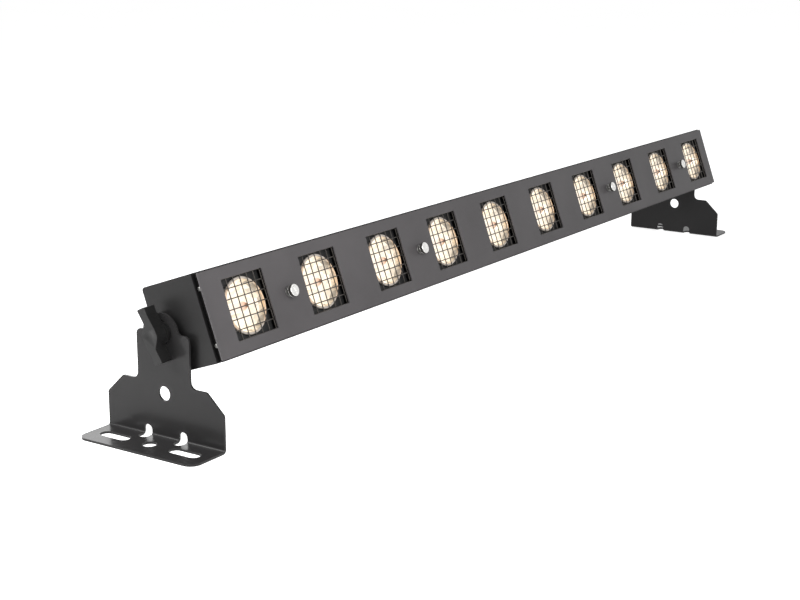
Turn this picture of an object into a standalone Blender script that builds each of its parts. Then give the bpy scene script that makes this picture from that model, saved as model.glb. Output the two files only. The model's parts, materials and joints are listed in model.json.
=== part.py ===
"""Strip light: ten reflector lamps behind a guarded front panel, in a housing that tilts between two feet.

Metres, +Z up. X runs along the bar, the light leaves towards -Y, and the feet stand on Z = 0.
The housing is drawn untilted about its pivot axis and hangs from one empty that tilts it.
"""

import math

import bmesh
import bpy
from mathutils import Matrix, Vector

# Lamp row
LAMP_COUNT = 10
LAMP_PITCH = 0.1050
LAMP_ROW_SHIFT = 0.0032
LAMP_BOWL_RADIUS = 0.0226
LAMP_BOWL_DEPTH = 0.0320
LAMP_RIM_LIP = 0.0026
LAMP_RIM_THICKNESS = 0.0026
LAMP_NECK_RADIUS = 0.0082
LAMP_NECK_LENGTH = 0.0065
PIN_WIDTH = 0.0016
PIN_LENGTH = 0.0065
PIN_SPACING = 0.0053
HOLDER_WIDTH = 0.0220
HOLDER_HEIGHT = 0.0130
HOLDER_DEPTH = 0.0120
HOLDER_SOCKET_DEPTH = 0.0080

# Housing
END_MARGIN = 0.0489
WINDOW_MARGIN = 0.0016
PANEL_BORDER = 0.0104
PANEL_SHEET = 0.0012
CASE_MARGIN = 0.0011
SHEET = 0.0015
BEND_RADIUS = 0.0030
REAR_ROOM = 0.0051
GROOVE_WIDTH = 0.0057
GROOVE_DEPTH = 0.0036
CAP_TAB_LENGTH = 0.0100
CAP_TAB_WIDTH = 0.0220

# Wire guard
GUARD_CELLS = 6
GUARD_WIRE = 0.0010
GUARD_EDGE_GAP = 0.0006
GUARD_TO_LAMP = 0.0020

# Lamp carrier
CARRIER_SHEET = 0.0012
CARRIER_FLANGE = 0.0120
CARRIER_PAD_MARGIN = 0.0033
CARRIER_BRIDGE = 0.0160
BOSS_RADIUS = 0.0040
BOSS_LENGTH = 0.0060

# Panel thumbscrews, in the first and third gap from each end
THUMBSCREW_PLACES = (1, 3)
THUMB_RADIUS = 0.0055
THUMB_HEAD = 0.0050
THUMB_COLLAR_RADIUS = 0.0036
THUMB_COLLAR = 0.0027
THUMB_SHANK_RADIUS = 0.0020
THUMB_SLOT_WIDTH = 0.0013
THUMB_SLOT_DEPTH = 0.0016

# End cap screws
SCREW_HEAD_RADIUS = 0.0022
SCREW_HEAD = 0.0020
SCREW_SHANK_RADIUS = 0.0015
SCREW_REACH = 0.0060
SCREW_SPREAD = 0.0243

# Pivot
TILT = math.radians(19.8)
PIVOT_HEIGHT = 0.0935
PIVOT_TO_FACE = 0.0502
PIVOT_TO_BOTTOM = 0.0364
STUD_RADIUS = 0.0040
WASHER_RADIUS = 0.0110
WASHER_THICKNESS = 0.0038
NUT_WIDTH = 0.0200
NUT_THICKNESS = 0.0060
STUD_PAST_NUT = 0.0030

# Brackets
BRACKET_SHEET = 0.0020
BRACKET_HALF_WIDTH = 0.0642
BRACKET_SIDE_HEIGHT = 0.0325
CHAMFER_RUN = 0.0180
CHAMFER_RISE = 0.0170
NECK_HALF_WIDTH = 0.0288
SHOULDER_RISE = 0.0003
SHOULDER_CORNER = 0.0050
DOME_RADIUS = 0.0167
BRACKET_CORNER = 0.0035
NECK_FILLET = 0.0060
DOME_FILLET = 0.0045
BRACKET_BEND = 0.0020
FLANGE_LENGTH = 0.0400
FLANGE_CORNER = 0.0100
CLAMP_HOLE_RADIUS = 0.0063
CLAMP_HOLE_HEIGHT = 0.0407
FOOT_HOLE_RADIUS = 0.0063
FOOT_SLOT_WIDTH = 0.0120
FOOT_SLOT_LENGTH = 0.0315
FOOT_SLOT_OFFSET = 0.0385
NOTCH_WIDTH = 0.0094
NOTCH_OFFSET = 0.0195
NOTCH_HEIGHT = 0.0103
NOTCH_REACH = 0.0100

# Tilt knobs. The outline is half of a two-winged shape: across the axis, above it, and the rounding there
KNOB_THICKNESS = 0.0120
KNOB_BOSS_RADIUS = 0.0100
KNOB_BOSS = 0.0030
KNOB_HALF = (
    (-0.0131, 0.0204, 0.0012),
    (-0.0050, 0.0243, 0.0012),
    (-0.0021, 0.0179, 0.0020),
    (0.0050, 0.0079, 0.0030),
    (0.0086, 0.0010, 0.0050),
    (0.0061, -0.0099, 0.0020),
)

# Rear fittings, each in the gap after the lamp of that number
SUPPLY_GAP = 1
FUSE_GAP = 2
MAINS_IN_GAP = 3
MAINS_OUT_GAP = 4
CONTROL_GAP = 5
DATA_IN_GAP = 6
DATA_OUT_GAP = 7
DIMMER_GAP = 8
REAR_FLANGE = 0.0020
MAINS_BODY_WIDTH = 0.0272
MAINS_BODY_HEIGHT = 0.0200
MAINS_BODY_DEPTH = 0.0220
MAINS_EAR = 0.0104
MAINS_LIP = 0.0030
MAINS_WALL = 0.0016
MAINS_CAVITY_DEPTH = 0.0165
BLADE_WIDTH = 0.0020
BLADE_HEIGHT = 0.0040
BLADE_LENGTH = 0.0130
BLADE_SPACING = 0.0070
EARTH_RISE = 0.0040
DATA_FLANGE_WIDTH = 0.0260
DATA_FLANGE_HEIGHT = 0.0310
DATA_BODY_RADIUS = 0.0115
DATA_BODY_DEPTH = 0.0200
DATA_WALL = 0.0022
DATA_CAVITY_DEPTH = 0.0135
DATA_PIN_RADIUS = 0.0012
DATA_PIN_LENGTH = 0.0110
DATA_PIN_CIRCLE = 0.0048
FUSE_BODY_RADIUS = 0.0075
FUSE_LIP = 0.0020
FUSE_BODY_DEPTH = 0.0240
FUSE_WALL = 0.0021
FUSE_BORE_DEPTH = 0.0110
FUSE_STEM_LENGTH = 0.0080
FUSE_CAP_LIP = 0.0017
FUSE_CAP_HEIGHT = 0.0050
FUSE_GRIP_WIDTH = 0.0022
FUSE_GRIP_HEIGHT = 0.0030
CONTROL_WIDTH = 0.0520
CONTROL_HEIGHT = 0.0400
CONTROL_DEPTH = 0.0080
DISPLAY_WIDTH = 0.0340
DISPLAY_HEIGHT = 0.0140
DISPLAY_RISE = 0.0100
DISPLAY_PROUD = 0.0008
BUTTON_COUNT = 4
BUTTON_RADIUS = 0.0032
BUTTON_PITCH = 0.0110
BUTTON_DROP = 0.0100
BUTTON_PROUD = 0.0022
BUTTON_TRAVEL = 0.0010
BUTTON_BORE_DEPTH = 0.0050
BOARD_WIDTH = 0.0580
BOARD_HEIGHT = 0.0540
BOARD_THICKNESS = 0.0016
STANDOFF_RADIUS = 0.0025
STANDOFF_LENGTH = 0.0050
STANDOFF_INSET = 0.0050

# Wiring
HARNESS_RADIUS = 0.0030
HARNESS_SETBACK = 0.0100
HARNESS_END = 0.0040
TAIL_RADIUS = 0.0016

# Fits and tool allowances
CLEARANCE = 0.0003
OVERLAP = 0.0005
CUT_PAST = 0.0030

# Planes and places that follow from the sizes, in the untilted housing's own frame
LAMP_RIM_RADIUS = LAMP_BOWL_RADIUS + LAMP_RIM_LIP
WINDOW = 2 * (LAMP_RIM_RADIUS + WINDOW_MARGIN)
CELL = WINDOW / GUARD_CELLS
FACE_HEIGHT = WINDOW + 2 * PANEL_BORDER
FACE_Y = -PIVOT_TO_FACE
PANEL_BACK_Y = FACE_Y + PANEL_SHEET
GUARD_Y = PANEL_BACK_Y + CLEARANCE
LAMP_SEAT_Y = GUARD_Y + GUARD_WIRE + GUARD_TO_LAMP + LAMP_RIM_THICKNESS
CARRIER_Y = LAMP_SEAT_Y + CLEARANCE
CARRIER_BACK_Y = CARRIER_Y + CARRIER_SHEET
HOLDER_Y = LAMP_SEAT_Y + LAMP_BOWL_DEPTH + LAMP_NECK_LENGTH + CLEARANCE
WALL_Y = HOLDER_Y + HOLDER_DEPTH + REAR_ROOM
BACK_Y = WALL_Y + SHEET
FITTING_Y = BACK_Y + CLEARANCE
MOUTH_Y = FITTING_Y + REAR_FLANGE
BOTTOM_Z = -PIVOT_TO_BOTTOM
TOP_Z = BOTTOM_Z + FACE_HEIGHT + 2 * CASE_MARGIN
MIDDLE_Z = (BOTTOM_Z + TOP_Z) / 2
BUTTON_Z = MIDDLE_Z - BUTTON_DROP
HALF_LENGTH = (LAMP_COUNT - 1) / 2 * LAMP_PITCH + END_MARGIN
GROOVE_BACK_Y = PANEL_BACK_Y + GROOVE_WIDTH
CAP_DEPTH = GROOVE_DEPTH + SHEET
LIP_X = HALF_LENGTH - GROOVE_DEPTH
CAP_INNER_X = HALF_LENGTH - CAP_DEPTH
CHANNEL_END_X = CAP_INNER_X - CLEARANCE
CARRIER_END_X = CHANNEL_END_X - CLEARANCE
SCREW_SEAT_X = LIP_X + CLEARANCE
SCREW_Y = (PANEL_BACK_Y + GROOVE_BACK_Y) / 2
GUARD_END_X = min(CARRIER_END_X - CARRIER_SHEET, SCREW_SEAT_X - SCREW_REACH) - CLEARANCE
BRACKET_INNER_X = HALF_LENGTH + WASHER_THICKNESS + 2 * CLEARANCE
BRACKET_OUTER_X = BRACKET_INNER_X + BRACKET_SHEET
FLANGE_END_X = BRACKET_OUTER_X + FLANGE_LENGTH
FLANGE_MIDDLE_X = BRACKET_OUTER_X + FLANGE_LENGTH / 2
STEP_HALF_WIDTH = BRACKET_HALF_WIDTH - CHAMFER_RUN
STEP_HEIGHT = BRACKET_SIDE_HEIGHT + CHAMFER_RISE
SHOULDER_HEIGHT = PIVOT_HEIGHT + SHOULDER_RISE
KNOB_BACK_X = BRACKET_OUTER_X + CLEARANCE
KNOB_WING_X = KNOB_BACK_X + KNOB_BOSS
NUT_X = HALF_LENGTH - SHEET - CLEARANCE
STUD_TIP_X = NUT_X - NUT_THICKNESS - STUD_PAST_NUT
PIVOT_HOLE_RADIUS = STUD_RADIUS + CLEARANCE
SHANK_HOLE_RADIUS = SCREW_SHANK_RADIUS + CLEARANCE
THUMB_HOLE_RADIUS = THUMB_SHANK_RADIUS + CLEARANCE
BOARD_Y = WALL_Y - CLEARANCE - STANDOFF_LENGTH - BOARD_THICKNESS
HARNESS_Y = WALL_Y - HARNESS_SETBACK
HARNESS_Z = BOTTOM_Z + SHEET + CLEARANCE + HARNESS_RADIUS
FUSE_BORE_RADIUS = FUSE_BODY_RADIUS - FUSE_WALL
BLADE_SPOTS = ((-BLADE_SPACING, 0.0), (0.0, EARTH_RISE), (BLADE_SPACING, 0.0))
LAMP_SIDES = 16

# Turns a flat outline's own X and Y into the named plane, and its thickness into the third axis
PLANES = {
    "XY": Matrix.Identity(4),
    "XZ": Matrix(((1, 0, 0, 0), (0, 0, -1, 0), (0, 1, 0, 0), (0, 0, 0, 1))),
    "YZ": Matrix(((0, 0, 1, 0), (1, 0, 0, 0), (0, 1, 0, 0), (0, 0, 0, 1))),
}
AXES = {
    "X": Matrix.Rotation(math.pi / 2, 4, "Y"),
    "Y": Matrix.Rotation(-math.pi / 2, 4, "X"),
    "Z": Matrix.Identity(4),
}


def lamp_numbers():
    return range(1, LAMP_COUNT + 1)


def lamp_x(number):
    """Centre of a lamp, counted from 1 at the left end."""
    return (number - (LAMP_COUNT + 1) / 2) * LAMP_PITCH + LAMP_ROW_SHIFT


def gap_x(number):
    """Middle of the gap after a lamp."""
    return lamp_x(number) + LAMP_PITCH / 2


def thumbscrew_xs():
    """Thumbscrew positions along the bar, alike from both ends of the lamp row."""
    gaps = {*THUMBSCREW_PLACES} | {LAMP_COUNT - gap for gap in THUMBSCREW_PLACES}
    return [gap_x(gap) for gap in sorted(gaps)]


def button_xs():
    middle = gap_x(CONTROL_GAP)
    return [middle + (k - (BUTTON_COUNT - 1) / 2) * BUTTON_PITCH for k in range(BUTTON_COUNT)]


def screw_heights():
    return (MIDDLE_Z + SCREW_SPREAD, MIDDLE_Z - SCREW_SPREAD)


def clear_scene():
    for item in list(bpy.data.objects):
        bpy.data.objects.remove(item, do_unlink=True)


def new_collection(name):
    collection = bpy.data.collections.new(name)
    bpy.context.scene.collection.children.link(collection)
    return collection


def finish(name, color, roughness, metallic=0.0):
    """A plain Principled material."""
    material = bpy.data.materials.new(name)
    material.use_nodes = True
    shader = material.node_tree.nodes["Principled BSDF"]
    shader.inputs["Base Color"].default_value = (*color, 1.0)
    shader.inputs["Roughness"].default_value = roughness
    shader.inputs["Metallic"].default_value = metallic
    material.diffuse_color = (*color, 1.0)
    return material


def welded(mesh):
    """The mesh with loose caps joined and its faces turned outwards."""
    work = bmesh.new()
    work.from_mesh(mesh)
    bmesh.ops.remove_doubles(work, verts=work.verts, dist=1e-6)
    bmesh.ops.recalc_face_normals(work, faces=work.faces)
    work.to_mesh(mesh)
    work.free()
    return mesh


def evaluated_mesh(item):
    """The shape of an object with its modifiers, which then goes away."""
    bpy.context.view_layer.update()
    graph = bpy.context.evaluated_depsgraph_get()
    mesh = bpy.data.meshes.new_from_object(item.evaluated_get(graph))
    mesh.materials.clear()
    bpy.data.objects.remove(item, do_unlink=True)
    return mesh


def boxes(*spans):
    """One mesh of boxes, each given by its low and high corner."""
    work = bmesh.new()
    for low, high in spans:
        low, high = Vector(low), Vector(high)
        made = bmesh.ops.create_cube(work, size=1.0)["verts"]
        for vert in made:
            vert.co = Vector(low[i] + (high[i] - low[i]) * (vert.co[i] + 0.5) for i in range(3))
    mesh = bpy.data.meshes.new("boxes")
    work.to_mesh(mesh)
    work.free()
    return welded(mesh)


def rods(axis, radius, sides, *spans):
    """One mesh of cylinders along an axis, each given by its start point and its length."""
    work = bmesh.new()
    for start, length in spans:
        frame = Matrix.Translation(start) @ AXES[axis] @ Matrix.Translation((0, 0, length / 2))
        bmesh.ops.create_cone(
            work, cap_ends=True, segments=sides, radius1=radius, radius2=radius, depth=length, matrix=frame
        )
    mesh = bpy.data.meshes.new("rods")
    work.to_mesh(mesh)
    work.free()
    return welded(mesh)


def merged(*meshes):
    """One mesh holding several, which must not overlap each other."""
    work = bmesh.new()
    for mesh in meshes:
        work.from_mesh(mesh)
    mesh = bpy.data.meshes.new("merged")
    work.to_mesh(mesh)
    work.free()
    return mesh


def sheet(outline, holes, thickness, plane, middle):
    """A flat outline with holes, extruded evenly about the plane that passes through middle."""
    curve = bpy.data.curves.new("outline", "CURVE")
    curve.dimensions = "2D"
    curve.fill_mode = "BOTH"
    curve.extrude = thickness / 2
    for points in [outline, *holes]:
        spline = curve.splines.new("POLY")
        spline.points.add(len(points) - 1)
        for point, (across, up) in zip(spline.points, points):
            point.co = (across, up, 0.0, 1.0)
        spline.use_cyclic_u = True
    item = bpy.data.objects.new("outline", curve)
    CUTTERS.objects.link(item)
    mesh = evaluated_mesh(item)
    mesh.transform(Matrix.Translation(middle) @ PLANES[plane])
    return welded(mesh)


def turned(profile, sides, axis, middle=(0.0, 0.0, 0.0)):
    """A solid of revolution from (radius, distance along the axis) pairs that start and end at radius 0."""
    mesh = bpy.data.meshes.new("profile")
    points = [(radius, 0.0, along) for radius, along in profile]
    mesh.from_pydata(points, [(i, i + 1) for i in range(len(points) - 1)], [])
    item = bpy.data.objects.new("profile", mesh)
    CUTTERS.objects.link(item)
    screw = item.modifiers.new("turn", "SCREW")
    screw.steps = screw.render_steps = sides
    screw.use_merge_vertices = True
    screw.merge_threshold = 1e-5
    solid = evaluated_mesh(item)
    solid.transform(Matrix.Translation(middle) @ AXES[axis])
    return welded(solid)


def arc(center, radius, start, end, steps):
    """Points on a circle from one angle to another, both included, in degrees."""
    found = []
    for i in range(steps + 1):
        angle = math.radians(start + (end - start) * i / steps)
        found.append((center[0] + radius * math.cos(angle), center[1] + radius * math.sin(angle)))
    return found


def circle(center, radius, sides):
    return arc(center, radius, 0.0, 360.0, sides)[:-1]


def rectangle(center, width, height):
    x, y = center
    return [
        (x - width / 2, y - height / 2),
        (x + width / 2, y - height / 2),
        (x + width / 2, y + height / 2),
        (x - width / 2, y + height / 2),
    ]


def slot(center, length, width, steps):
    """A slot along the outline's Y, with round ends."""
    reach = (length - width) / 2
    top = arc((center[0], center[1] + reach), width / 2, 0.0, 180.0, steps)
    return top + arc((center[0], center[1] - reach), width / 2, 180.0, 360.0, steps)


def rounded(corners, steps=3):
    """A closed outline from (x, y, radius) corners, each rounded by its radius."""
    found = []
    for i, (x, y, radius) in enumerate(corners):
        here = Vector((x, y))
        if radius <= 0.0:
            found.append((x, y))
            continue
        before = (Vector(corners[i - 1][:2]) - here).normalized()
        after = (Vector(corners[(i + 1) % len(corners)][:2]) - here).normalized()
        half = before.angle(after) / 2
        center = here + (before + after).normalized() * (radius / math.sin(half))
        first = here + before * (radius / math.tan(half)) - center
        turn = math.pi - 2 * half
        sign = 1.0 if before.x * after.y - before.y * after.x < 0.0 else -1.0
        for k in range(steps + 1):
            angle = sign * turn * k / steps
            cos, sin = math.cos(angle), math.sin(angle)
            found.append((center.x + first.x * cos - first.y * sin, center.y + first.x * sin + first.y * cos))
    return found


def place(name, mesh, material, parent=None, location=(0.0, 0.0, 0.0), smooth=None):
    """A named sub-part from a mesh. smooth is the angle in degrees up to which edges look round."""
    item = bpy.data.objects.new(name, mesh)
    if not mesh.materials:
        mesh.materials.append(material)
    if smooth is not None:
        mesh.shade_smooth()
        mesh.set_sharp_from_angle(angle=math.radians(smooth))
    PARTS.objects.link(item)
    item.parent = parent
    item.location = location
    return item


def carve(mesh, *steps):
    """The mesh after Boolean steps, each an operation name and the mesh that it uses."""
    item = bpy.data.objects.new("carved", mesh)
    CUTTERS.objects.link(item)
    tools = []
    for operation, shape in steps:
        tool = bpy.data.objects.new("tool", shape)
        CUTTERS.objects.link(tool)
        tool.hide_render = True
        tool.display_type = "WIRE"
        boolean = item.modifiers.new(operation.lower(), "BOOLEAN")
        boolean.operation = operation
        boolean.solver = "EXACT"
        boolean.object = tool
        tools.append(tool)
    solid = evaluated_mesh(item)
    for tool in tools:
        bpy.data.objects.remove(tool, do_unlink=True)
    return welded(solid)


def housing_outline(inset=0.0, front_y=FACE_Y):
    """Section of the housing across X, as a closed outline with round corners at the back."""
    radius = max(BEND_RADIUS - inset, 0.0)
    return rounded(
        [
            (front_y, BOTTOM_Z + inset, 0.0),
            (BACK_Y - inset, BOTTOM_Z + inset, radius),
            (BACK_Y - inset, TOP_Z - inset, radius),
            (front_y, TOP_Z - inset, 0.0),
        ]
    )


def make_front_panel():
    """Flat front sheet with one square window for each lamp and the thumbscrew holes."""
    outline = rectangle((0.0, MIDDLE_Z), 2 * HALF_LENGTH, FACE_HEIGHT)
    holes = [rectangle((lamp_x(n), MIDDLE_Z), WINDOW, WINDOW) for n in lamp_numbers()]
    holes += [circle((x, MIDDLE_Z), THUMB_HOLE_RADIUS, 12) for x in thumbscrew_xs()]
    mesh = sheet(outline, holes, PANEL_SHEET, "XZ", (0.0, FACE_Y + PANEL_SHEET / 2, 0.0))
    place("front_panel", mesh, PANEL_GREY, HOUSING)


def make_guard(name, numbers, left_x, right_x):
    """One strip of the wire guard, with a field of square cells behind the window of each lamp number."""
    height = FACE_HEIGHT - 2 * (SHEET + GUARD_EDGE_GAP)
    outline = rectangle(((left_x + right_x) / 2, MIDDLE_Z), right_x - left_x, height)
    steps = [(k - (GUARD_CELLS - 1) / 2) * CELL for k in range(GUARD_CELLS)]
    holes = []
    for number in numbers:
        for across in steps:
            spots = [(lamp_x(number) + across, MIDDLE_Z + up) for up in steps]
            holes += [rectangle(spot, CELL - GUARD_WIRE, CELL - GUARD_WIRE) for spot in spots]
    holes += [circle((x, MIDDLE_Z), THUMB_HOLE_RADIUS, 12) for x in thumbscrew_xs() if left_x < x < right_x]
    mesh = sheet(outline, holes, GUARD_WIRE, "XZ", (0.0, GUARD_Y + GUARD_WIRE / 2, 0.0))
    place(name, mesh, GUARD_BLACK, HOUSING)


def make_guards():
    half = LAMP_COUNT // 2
    seam = gap_x(half)
    make_guard("guard_left", range(1, half + 1), -GUARD_END_X, seam - CLEARANCE / 2)
    make_guard("guard_right", range(half + 1, LAMP_COUNT + 1), seam + CLEARANCE / 2, GUARD_END_X)


def make_housing_channel():
    """Folded channel that closes top, bottom and back, with the openings for the rear fittings."""
    front_y = PANEL_BACK_Y + CLEARANCE
    length = 2 * CHANNEL_END_X
    body = sheet(housing_outline(front_y=front_y), [], length, "YZ", (0.0, 0.0, 0.0))
    inner = sheet(housing_outline(SHEET, front_y - CUT_PAST), [], length + CUT_PAST, "YZ", (0.0, 0.0, 0.0))
    past = (WALL_Y - CUT_PAST, BACK_Y + CUT_PAST)
    square_cuts = []
    for gap, width, height, rise in (
        (MAINS_IN_GAP, MAINS_BODY_WIDTH, MAINS_BODY_HEIGHT, 0.0),
        (MAINS_OUT_GAP, MAINS_BODY_WIDTH, MAINS_BODY_HEIGHT, 0.0),
        (CONTROL_GAP, DISPLAY_WIDTH, DISPLAY_HEIGHT, DISPLAY_RISE),
    ):
        x, z = gap_x(gap), MIDDLE_Z + rise
        half_x, half_z = width / 2 + CLEARANCE, height / 2 + CLEARANCE
        square_cuts.append(((x - half_x, past[0], z - half_z), (x + half_x, past[1], z + half_z)))
    depth = past[1] - past[0]
    data_cuts = [((gap_x(n), past[0], MIDDLE_Z), depth) for n in (DATA_IN_GAP, DATA_OUT_GAP)]
    button_cuts = [((x, past[0], BUTTON_Z), depth) for x in button_xs()]
    cutter = merged(
        boxes(*square_cuts),
        rods("Y", DATA_BODY_RADIUS + CLEARANCE, 20, *data_cuts),
        rods("Y", FUSE_BODY_RADIUS + CLEARANCE, 16, ((gap_x(FUSE_GAP), past[0], MIDDLE_Z), depth)),
        rods("Y", BUTTON_RADIUS + CLEARANCE, 12, *button_cuts),
    )
    mesh = carve(body, ("DIFFERENCE", inner), ("DIFFERENCE", cutter))
    place("housing_channel", mesh, CASE_GREY, HOUSING)


def make_end_cap(name, side):
    """Shallow end cover with a set-back lip beside the front panel and two tabs inside the channel."""

    def span(near, far):
        return sorted((side * near, side * far))

    middle_x = side * (HALF_LENGTH - CAP_DEPTH / 2)
    body = sheet(housing_outline(front_y=GROOVE_BACK_Y), [], CAP_DEPTH, "YZ", (middle_x, 0.0, 0.0))
    low_x, high_x = span(HALF_LENGTH - SHEET, CAP_INNER_X - CUT_PAST)
    hollow_outline = housing_outline(SHEET, GROOVE_BACK_Y + SHEET)
    hollow = sheet(hollow_outline, [], high_x - low_x, "YZ", ((low_x + high_x) / 2, 0.0, 0.0))
    low_x, high_x = span(CAP_INNER_X, LIP_X)
    lip = boxes(((low_x, PANEL_BACK_Y + CLEARANCE, BOTTOM_Z), (high_x, GROOVE_BACK_Y + OVERLAP, TOP_Z)))
    low_x, high_x = span(HALF_LENGTH - SHEET + OVERLAP, CAP_INNER_X - CAP_TAB_LENGTH)
    tab_y = (FACE_Y + BACK_Y) / 2
    tabs = []
    for edge, inward in ((TOP_Z, -1.0), (BOTTOM_Z, 1.0)):
        outer = edge + inward * (SHEET + CLEARANCE)
        low_z, high_z = sorted((outer, outer + inward * SHEET))
        tabs.append(((low_x, tab_y, low_z), (high_x, tab_y + CAP_TAB_WIDTH, high_z)))
    start_x = side * (CAP_INNER_X - CUT_PAST)
    reach = side * (CAP_DEPTH + 2 * CUT_PAST)
    holes = merged(
        rods("X", PIVOT_HOLE_RADIUS, 16, ((start_x, 0.0, 0.0), reach)),
        rods("X", SHANK_HOLE_RADIUS, 10, *[((start_x, SCREW_Y, z), reach) for z in screw_heights()]),
    )
    mesh = carve(body, ("DIFFERENCE", hollow), ("UNION", lip), ("UNION", boxes(*tabs)), ("DIFFERENCE", holes))
    place(name, mesh, CASE_GREY, HOUSING)


def make_lamp_carrier():
    """Long plate for the lamp rims, with flanges, slots between the lamps and thumbscrew bosses."""
    flange_z = SHEET + CLEARANCE
    low_z, high_z = BOTTOM_Z + flange_z, TOP_Z - flange_z
    y0, y1 = CARRIER_Y, CARRIER_BACK_Y
    section = [
        (y0, low_z),
        (y1 + CARRIER_FLANGE, low_z),
        (y1 + CARRIER_FLANGE, low_z + CARRIER_SHEET),
        (y1, low_z + CARRIER_SHEET),
        (y1, high_z - CARRIER_SHEET),
        (y1 + CARRIER_FLANGE, high_z - CARRIER_SHEET),
        (y1 + CARRIER_FLANGE, high_z),
        (y0, high_z),
    ]
    body = sheet(section, [], 2 * CARRIER_END_X, "YZ", (0.0, 0.0, 0.0))
    end_tabs = []
    for side in (-1.0, 1.0):
        low_x, high_x = sorted((side * CARRIER_END_X, side * (CARRIER_END_X - CARRIER_SHEET)))
        end_tabs.append(((low_x, GUARD_Y, low_z), (high_x, y0 + OVERLAP, high_z)))
    bosses = [((x, y1 - OVERLAP, MIDDLE_Z), BOSS_LENGTH + OVERLAP) for x in thumbscrew_xs()]
    past = y0 - CUT_PAST
    through = CARRIER_SHEET + 2 * CUT_PAST
    lamp_holes = [((lamp_x(n), past, MIDDLE_Z), through) for n in lamp_numbers()]
    thumb_holes = [((x, past, MIDDLE_Z), through + BOSS_LENGTH) for x in thumbscrew_xs()]
    slot_inner = CARRIER_BRIDGE / 2
    slot_outer = LAMP_PITCH / 2 - LAMP_RIM_RADIUS - CARRIER_PAD_MARGIN
    slot_half = LAMP_RIM_RADIUS + CARRIER_PAD_MARGIN
    slots = []
    for number in range(1, LAMP_COUNT):
        for side in (-1.0, 1.0):
            low_x, high_x = sorted((gap_x(number) + side * slot_inner, gap_x(number) + side * slot_outer))
            low = (low_x, past, MIDDLE_Z - slot_half)
            slots.append((low, (high_x, past + through, MIDDLE_Z + slot_half)))
    end_holes = []
    for z in screw_heights():
        for side in (-1.0, 1.0):
            start = side * (CARRIER_END_X - CARRIER_SHEET - CUT_PAST)
            end_holes.append(((start, SCREW_Y, z), side * (CARRIER_SHEET + 2 * CUT_PAST)))
    cutter = merged(
        rods("Y", LAMP_BOWL_RADIUS + 2 * CLEARANCE, LAMP_SIDES, *lamp_holes),
        rods("Y", THUMB_HOLE_RADIUS, 12, *thumb_holes),
        boxes(*slots),
        rods("X", SHANK_HOLE_RADIUS, 10, *end_holes),
    )
    mesh = carve(
        body,
        ("UNION", boxes(*end_tabs)),
        ("UNION", rods("Y", BOSS_RADIUS, 12, *bosses)),
        ("DIFFERENCE", cutter),
    )
    place("lamp_carrier", mesh, CARRIER_GREY, HOUSING)


def pin_spans(half, low_y, high_y):
    """Two boxes for the lamp pins or for the sockets that take them."""
    return [((x - half, low_y, -half), (x + half, high_y, half)) for x in (-PIN_SPACING / 2, PIN_SPACING / 2)]


def make_lamps():
    """Reflector lamps, rim on the carrier, with a bowl, a neck and two square pins."""
    back = LAMP_BOWL_DEPTH + LAMP_NECK_LENGTH
    profile = [
        (0.0, -LAMP_RIM_THICKNESS),
        (LAMP_RIM_RADIUS, -LAMP_RIM_THICKNESS),
        (LAMP_RIM_RADIUS, 0.0),
        (LAMP_BOWL_RADIUS, 0.0),
        (0.85 * LAMP_BOWL_RADIUS, 0.50 * LAMP_BOWL_DEPTH),
        (LAMP_NECK_RADIUS, LAMP_BOWL_DEPTH),
        (LAMP_NECK_RADIUS, back),
        (0.0, back),
    ]
    pins = boxes(*pin_spans(PIN_WIDTH / 2, back - OVERLAP, back + PIN_LENGTH))
    mesh = carve(turned(profile, LAMP_SIDES, "Y"), ("UNION", pins))
    for number in lamp_numbers():
        spot = (lamp_x(number), LAMP_SEAT_Y, MIDDLE_Z)
        place(f"lamp_{number:02d}", mesh, LAMP_GLASS, HOUSING, spot, smooth=35)


def make_lampholders():
    """Ceramic holders pushed onto the lamp pins."""
    half_x, half_z = HOLDER_WIDTH / 2, HOLDER_HEIGHT / 2
    body = boxes(((-half_x, 0.0, -half_z), (half_x, HOLDER_DEPTH, half_z)))
    sockets = boxes(*pin_spans(PIN_WIDTH / 2 + CLEARANCE, -CUT_PAST, HOLDER_SOCKET_DEPTH))
    mesh = carve(body, ("DIFFERENCE", sockets))
    for number in lamp_numbers():
        place(f"lampholder_{number:02d}", mesh, CERAMIC, HOUSING, (lamp_x(number), HOLDER_Y, MIDDLE_Z))


def make_thumbscrews():
    """Screws that hold the front panel: collar, round head with a slot across it, and shank."""
    seat_y = -CLEARANCE
    neck_y = seat_y - THUMB_COLLAR
    head_y = neck_y - THUMB_HEAD
    tip_y = CARRIER_BACK_Y + BOSS_LENGTH - FACE_Y
    profile = [
        (0.0, head_y),
        (THUMB_RADIUS, head_y),
        (THUMB_RADIUS, neck_y),
        (THUMB_COLLAR_RADIUS, neck_y),
        (THUMB_COLLAR_RADIUS, seat_y),
        (THUMB_SHANK_RADIUS, seat_y),
        (THUMB_SHANK_RADIUS, tip_y),
        (0.0, tip_y),
    ]
    past = THUMB_RADIUS + CUT_PAST
    half = THUMB_SLOT_WIDTH / 2
    cut = boxes(((-past, head_y - CUT_PAST, -half), (past, head_y + THUMB_SLOT_DEPTH, half)))
    mesh = carve(turned(profile, 12, "Y"), ("DIFFERENCE", cut))
    for index, x in enumerate(thumbscrew_xs(), 1):
        place(f"thumbscrew_{index}", mesh, NICKEL, HOUSING, (x, FACE_Y, MIDDLE_Z), smooth=35)


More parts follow.
